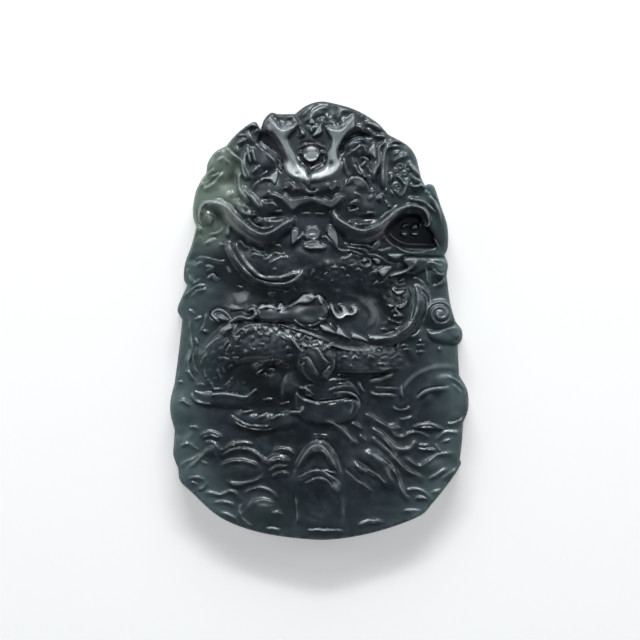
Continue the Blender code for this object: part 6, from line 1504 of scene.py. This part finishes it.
def painted_shade_depths(stone):
    """Painted shade where the carving is deepest: under the arch, in the jaw, below the cheeks, round the
    hollow.
    """
    shaded_places = [
        (0.5, 1.5, [(-12.2, -4.6), (-9.4, -4), (-6.8, -4.6), (-6.2, -6.4), (-8, -8.4), (-10, -9.8),
         (-12.2, -9.4), (-13, -7)]),
        (0.8, 0.9, [(-10, -11.2), (-8, -9.6), (-5.6, -9.2), (-3.6, -10.4), (-3.6, -12.2), (-5.2, -12.8),
         (-8.6, -13), (-11, -12.4)]),
        (0.5, 1, [(5.6, 12.8), (8.8, 13.4), (10.4, 15.2), (13, 16.2), (15.4, 15.8), (17.2, 13), (17.6, 10.6),
         (16.4, 9.4), (12, 9.2), (9, 10.4), (6.4, 11.4)]),
        (0.4, 0.8, [(-9.4, 16.6), (-7.4, 17.8), (-5.6, 16.6), (-4.2, 15.6), (-4.4, 14), (-6.6, 14.2),
         (-8.8, 14.8)]),
        (0.5, 1, [(2.6, 16.4), (3.6, 18.6), (5.8, 19.4), (7.6, 18.4), (8.6, 15.8), (7.4, 14), (4.6, 13.9),
         (3.2, 15)]),
        (0.5, 0.8, [(-5, 19.6), (-3, 19.2), (-1.2, 18.6), (0.8, 19), (3, 19.8), (4, 19.4), (3.6, 17.8),
         (0, 17.6), (-4, 17.6), (-5.6, 18.2)]),
        (0.35, 0.8, [(-4.6, 28.6), (-2.4, 29.6), (0, 30.4), (2.6, 30.2), (5, 29.6), (7, 28.2), (5.2, 27.8),
         (3, 27.9), (0, 27.6), (-3, 27.6)]),
        (0.4, 1, [(-8.6, -26.6), (-5.6, -27), (-4, -26), (-3.9, -29.8), (-7, -29.2)]),
        (0.45, 0.8, [(14.6, 17.4), (16.4, 17.2), (17.6, 15), (18.3, 12.6), (18.2, 10), (16.9, 9.9),
         (16.4, 12.6), (15.6, 14.6)]),
        (0.4, 0.6, [(11, 7), (13, 6.6), (15.2, 6.9), (15.4, 5.6), (13, 5.4), (11.4, 6)]),
        (0.35, 1, [(7.2, -10.9), (9.4, -11.2), (11, -11.6), (11, -13.4), (8.6, -13.8), (6.8, -12.6)]),
    ]
    for tone, edge, outline in shaded_places:
        stone.tint(outline, -tone, edge)


def carved_face():
    """The whole carving, from the low clouds up to the head."""
    stone = Stone(CARVING_STEP)
    painted_shade_depths(stone)
    upper_clouds(stone)
    left_mane(stone)
    right_mane(stone)
    left_clouds(stone)
    right_cloud(stone)
    beard(stone)
    coils(stone)
    elbow(stone)
    dorsal_fin(stone)
    forelimb(stone)
    hind_paw(stone)
    open_jaw(stone)
    bowl_paw(stone)
    right_boss(stone)
    flowing_water(stone)
    rock(stone)
    waves(stone)
    muzzle(stone)
    brows(stone)
    crown(stone)
    horns(stone)
    mouth(stone)
    whiskers(stone)
    scroll_hollow(stone)
    stone.z = stone.softened(POLISH)
    return stone


def outline_points():
    """Evenly spaced points round the outline, with a point kept at every notch."""
    points = []
    for lobe, following in zip(LOBES, LOBES[1:] + LOBES[:1]):
        line = smooth_line(lobe + following[:1])
        lengths = np.concatenate([[0], np.cumsum(np.hypot(*np.diff(line, axis=0).T))])
        count = max(2, round(lengths[-1] / OUTLINE_SPACING))
        places = np.linspace(0, lengths[-1], count, endpoint=False)
        points += list(zip(np.interp(places, lengths, line[:, 0]), np.interp(places, lengths, line[:, 1])))
    return np.array(points)


def sampled(stone, values, x, y):
    """Values from the stone's grid at any points, read between the grid's own points."""
    column = np.clip((x - stone.xs[0]) / stone.step, 0, len(stone.xs) - 1.001)
    row = np.clip((y - stone.ys[0]) / stone.step, 0, len(stone.ys) - 1.001)
    i, j = row.astype(int), column.astype(int)
    v, u = row - i, column - j
    low = values[i, j] * (1 - u) + values[i, j + 1] * u
    high = values[i + 1, j] * (1 - u) + values[i + 1, j + 1] * u
    return low * (1 - v) + high * v


def face_points(line, stone, sharp):
    """Points in a triangular pattern inside the outline, twice as close where the carving is fine."""
    row_gap = POINT_SPACING * math.sqrt(3) / 2
    rows = np.arange(-HEIGHT / 2, HEIGHT / 2, row_gap)
    columns = np.arange(-WIDTH / 2, WIDTH / 2, POINT_SPACING)
    x, y = np.meshgrid(columns, rows)
    x += POINT_SPACING / 2 * (np.arange(len(rows))[:, None] % 4) * 0.5
    depth = depth_inside(line, x, y)
    fine = sampled(stone, np.abs(sharp), x, y) > DETAIL
    wide = np.zeros_like(fine)
    wide[::2, ::2] = True
    kept = (depth > 0.6 * POINT_SPACING) & (fine | wide)
    return np.column_stack([x[kept], y[kept]])


def inset(line, distance):
    """The outline moved inwards by a distance."""
    along_edge = np.roll(line, -1, axis=0) - np.roll(line, 1, axis=0)
    along_edge /= np.hypot(*along_edge.T)[:, None]
    return line + distance * np.column_stack([along_edge[:, 1], -along_edge[:, 0]])


def plaque_mesh():
    """A closed body: carved face, wall, eased lower edge and flat back, with what its colour needs."""
    stone = carved_face()
    line = outline_points()
    # Measures of the carving that place the painted highlights, sheen and shade in the jade's colour; sharp
    # also sets where the points are close.
    sharp = stone.z - stone.softened(SHARP_SCALE)
    proud = stone.z - stone.softened(PROUD_SCALE)
    facing = -np.gradient(stone.softened(FACING_SCALE), stone.step, axis=0)
    stone.round_edge(line)
    middle = (line.min(0) + line.max(0)) / 2
    inner = face_points(line, stone, sharp)
    flat = [Vector(p) for p in np.vstack([line, inner])]
    rim_edges = [(i, (i + 1) % len(line)) for i in range(len(line))]
    placed, _, triangles, *_ = delaunay_2d_cdt(flat, rim_edges, [], 1, 1e-6)
    placed = np.array(placed)
    rim = len(line)
    z = sampled(stone, stone.z, placed[:, 0], placed[:, 1])
    z[:rim] = RIM
    z = np.minimum(z, cad_box[1].z / MM)
    eased = inset(line, EASE_STEP * BACK_EASE)
    wall = [(line, RIM * WALL_MIDDLE), (line, BACK_WALL), (eased, EASE_STEP * BACK_WALL),
            (inset(line, BACK_EASE), 0)]
    points = [np.column_stack([placed, z])]
    points += [np.column_stack([ring, np.full(rim, level)]) for ring, level in wall]
    points = np.vstack(points)
    room = [(high - low) / MM for low, high in zip(cad_box[0], cad_box[1])]
    points[:, :2] = (points[:, :2] - middle) * INSIDE * room[:2] / np.ptp(line, axis=0)
    faces = [tuple(t) for t in triangles]
    upper = np.arange(rim)
    for k in range(len(wall)):
        lower = len(placed) + k * rim + np.arange(rim)
        faces += [(upper[i], upper[(i + 1) % rim], lower[(i + 1) % rim], lower[i]) for i in range(rim)]
        upper = lower
    faces.append(tuple(upper))
    mesh = bpy.data.meshes.new("plaque_jade")
    mesh.from_pydata((points * MM).tolist(), [], [tuple(int(i) for i in f) for f in faces])
    edge = np.zeros(len(points))
    edge[:len(placed)] = depth_inside(line, placed[:, 0], placed[:, 1])
    edge[:rim] = 0
    surface = [edge]
    for grid in (sharp, proud, facing, stone.tone, stone.glow):
        values = np.zeros(len(points))
        values[:len(placed)] = sampled(stone, grid, placed[:, 0], placed[:, 1])
        surface.append(values)
    for name, values in zip(SURFACE, surface):
        layer = mesh.attributes.new(name, "FLOAT", "POINT")
        layer.data.foreach_set("value", values.astype(np.float32))
    model = bmesh.new()
    model.from_mesh(mesh)
    bmesh.ops.recalc_face_normals(model, faces=model.faces[:])
    bmesh.ops.triangulate(model, faces=[f for f in model.faces if len(f.verts) > 4])
    model.to_mesh(mesh)
    model.free()
    mesh.shade_smooth()
    mesh.set_sharp_from_angle(angle=math.radians(CREASE_ANGLE))
    return mesh


class Shade:
    """One output of a material's nodes; plain arithmetic on it adds the Math nodes."""

    def __init__(self, tree, socket=None):
        self.tree = tree
        self.socket = socket

    def node(self, kind, settings=None, values=None, output=0):
        """Adds a node, sets it up, then gives its sockets their values or links."""
        made = self.tree.nodes.new(kind)
        for name, value in (settings or {}).items():
            setattr(made, name, value)
        for name, value in (values or {}).items():
            if isinstance(value, Shade):
                self.tree.links.new(value.socket, made.inputs[name])
            else:
                made.inputs[name].default_value = value
        return Shade(self.tree, made.outputs[output])

    def maths(self, operation, first, second):
        """One Math node."""
        return self.node("ShaderNodeMath", {"operation": operation}, {0: first, 1: second})

    def __add__(self, other):
        return self.maths("ADD", self, other)

    __radd__ = __add__

    def __mul__(self, other):
        return self.maths("MULTIPLY", self, other)

    __rmul__ = __mul__

    def __sub__(self, other):
        return self.maths("SUBTRACT", self, other)

    def __rsub__(self, other):
        return self.maths("SUBTRACT", other, self)

    def __truediv__(self, other):
        return self.maths("DIVIDE", self, other)

    def ramp(self, low, high):
        """0 at low, 1 at high, eased between them."""
        return self.node("ShaderNodeMapRange", {"interpolation_type": "SMOOTHSTEP"},
                         {"Value": self, "From Min": low, "From Max": high})

    def mixed(self, first, second):
        """A colour between two, by this value."""
        return self.node("ShaderNodeMix", {"data_type": "RGBA"}, {0: self, 6: first, 7: second}, output=2)


def noise(place, scale, detail, roughness):
    """A soft random pattern over the stone."""
    return place.node("ShaderNodeTexNoise", {},
                      {"Vector": place, "Scale": scale, "Detail": detail, "Roughness": roughness})


def jade():
    """Dark green-grey jade: clearer and paler near its edge, sage at the upper left, highly polished; its
    colour also carries painted sheen, painted shade and painted highlights.
    """
    material = bpy.data.materials.new("polished_jade")
    material.use_nodes = True
    tree = material.node_tree
    shader = tree.nodes["Principled BSDF"]
    start = Shade(tree)
    place = start.node("ShaderNodeTexCoord", output="Object")
    edge, sharp, proud, facing, tone, glow = (
        start.node("ShaderNodeAttribute", {"attribute_name": name}, output="Fac") for name in SURFACE)
    highlight_noise = noise(place, 420.0, 3.0, 0.6)
    cloud = noise(place, 110.0, 4.0, 0.6)
    mottle = noise(place, 480.0, 5.0, 0.7)
    fleck = noise(place, 900.0, 3.0, 0.5)
    x = start.node("ShaderNodeSeparateXYZ", {}, {0: place}, output=0)
    y = start.node("ShaderNodeSeparateXYZ", {}, {0: place}, output=1)
    sage_x = (x - SAGE_CENTRE[0]) / SAGE_RADII[0]
    sage_y = (y - SAGE_CENTRE[1]) / SAGE_RADII[1]
    sage_gap = sage_x * sage_x + sage_y * sage_y
    sage = 1 - sage_gap.ramp(0.1, 1.0)
    margin = (1 - (edge + 3.0 * cloud).ramp(1.2, 9.5)) * (1 - 0.7 * y.ramp(0.020, 0.029))
    side = (x * x).ramp(0.00008, 0.00030)
    deep = (margin * (0.4 + 0.6 * side)).mixed(DEEP_JADE, CLEAR_JADE)
    toned = (0.7 * cloud.ramp(0.4, 0.7)).mixed(deep, SLATE)
    toned = (0.55 * mottle.ramp(0.42, 0.68)).mixed(toned, GREY_MOTTLE)
    colour = (sage * 0.9).mixed(toned, SAGE)
    # Painted sheen on raised parts, stronger where they face the lamps, and painted shade in hollows.
    lit = facing.ramp(-0.5, 0.7)
    colour = (0.8 * proud.ramp(0.0, 1.0) * (0.3 + 0.7 * lit)).mixed(colour, PAINTED_SHEEN_GREY)
    colour = (0.85 * (0 - proud).ramp(0.1, 0.9)).mixed(colour, PAINTED_HOLLOW_SHADE)
    # Pale painted highlights, partly paler stone, and painted shade where the tone is negative.
    colour = (tone.ramp(0, 1) * (0.6 + 0.8 * mottle)).mixed(colour, PALE_STONE_AND_HIGHLIGHT)
    colour = tone.ramp(0.9, 2.0).mixed(colour, PAINTED_HIGHLIGHT_WHITE)
    colour = (0 - tone).ramp(0, 1).mixed(colour, PAINTED_SHADE_BLACK)
    # Noise that breaks up the painted highlights along the edges.
    highlight_break = 0.2 + 0.8 * highlight_noise.ramp(0.36, 0.6)
    # Painted highlights along the carved edges, the fine ones stronger where they face the lamps.
    colour = (0.9 * glow.ramp(0.03, 0.6) * highlight_break).mixed(colour, PAINTED_EDGE_HIGHLIGHT)
    colour = (0.5 * sharp.ramp(0.012, 0.14) * (0.2 + 0.8 * lit) * highlight_break).mixed(colour, PAINTED_FINE_HIGHLIGHT)
    tree.links.new(colour.socket, shader.inputs["Base Color"])
    polish = edge.ramp(0.1, 0.8)
    rough = 0.36 + 0.10 * fleck.ramp(0.4, 0.8) + 0.5 * (1 - polish)
    tree.links.new((0.5 * polish).socket, shader.inputs["Coat Weight"])
    tree.links.new(rough.socket, shader.inputs["Roughness"])
    shader.inputs["IOR"].default_value = 1.66
    shader.inputs["Coat Roughness"].default_value = 0.12
    shader.inputs["Subsurface Weight"].default_value = 0.15
    shader.inputs["Subsurface Radius"].default_value = (0.6, 1.0, 0.8)
    shader.inputs["Subsurface Scale"].default_value = MM
    return material


def floor():
    """A plain pale floor."""
    bpy.ops.mesh.primitive_plane_add(size=6)
    ground = bpy.context.object
    ground.name = "studio_floor"
    material = bpy.data.materials.new("pale_floor")
    material.use_nodes = True
    shader = material.node_tree.nodes["Principled BSDF"]
    shader.inputs["Base Color"].default_value = PALE_FLOOR
    shader.inputs["Roughness"].default_value = 0.6
    shader.inputs["Specular IOR Level"].default_value = 0.0
    shader.inputs["Emission Color"].default_value = (1, 1, 1, 1)
    shader.inputs["Emission Strength"].default_value = 0.4
    ground.data.materials.append(material)


def overhead(degrees):
    """The direction that leans from straight up towards the plaque's head."""
    return 0, math.sin(math.radians(degrees)), math.cos(math.radians(degrees))


def softbox(name, towards, distance, size, radiance):
    """A rectangular soft light that faces the plaque from a direction."""
    data = bpy.data.lights.new(name, "AREA")
    data.shape = "RECTANGLE"
    data.size, data.size_y = size
    data.energy = radiance * math.pi * size[0] * size[1]
    data.color = COOL_WHITE
    light = bpy.data.objects.new(name, data)
    bpy.context.scene.collection.objects.link(light)
    direction = Vector(towards).normalized()
    light.location = distance * direction
    light.rotation_mode = "QUATERNION"
    light.rotation_quaternion = direction.to_track_quat("Z", "Y")


def camera():
    """Looks straight down at the carved face, as the photograph does."""
    data = bpy.data.cameras.new("camera")
    eye = bpy.data.objects.new("camera", data)
    bpy.context.scene.collection.objects.link(eye)
    data.sensor_width = 36
    frame_width = PHOTO_WIDTH / PHOTO_SCALE * MM
    data.lens = data.sensor_width * VIEW_DISTANCE / frame_width
    eye.location = (VIEW_SHIFT, VIEW_SHIFT, VIEW_DISTANCE + VIEW_HEIGHT)
    data.clip_end = 10
    bpy.context.scene.camera = eye


plaque = bpy.data.objects.new("carved_plaque", plaque_mesh())
bpy.context.scene.collection.objects.link(plaque)
plaque.data.materials.append(jade())
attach(plaque, "root")
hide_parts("plaque")
floor()
softbox("window", overhead(58), 0.6, (0.5, 0.42), 3.0)
softbox("strip", overhead(52), 0.5, (0.3, 0.06), 25.0)
softbox("left_fill", (-0.9, 0.3, 0.45), 0.6, (0.2, 0.5), 1.5)
softbox("right_fill", (0.9, 0.3, 0.45), 0.6, (0.2, 0.5), 1.5)
world = bpy.data.worlds.new("studio")
world.use_nodes = True
world.node_tree.nodes["Background"].inputs["Color"].default_value = DIM_ROOM
bpy.context.scene.world = world
bpy.context.scene.view_settings.view_transform = "Standard"
camera()
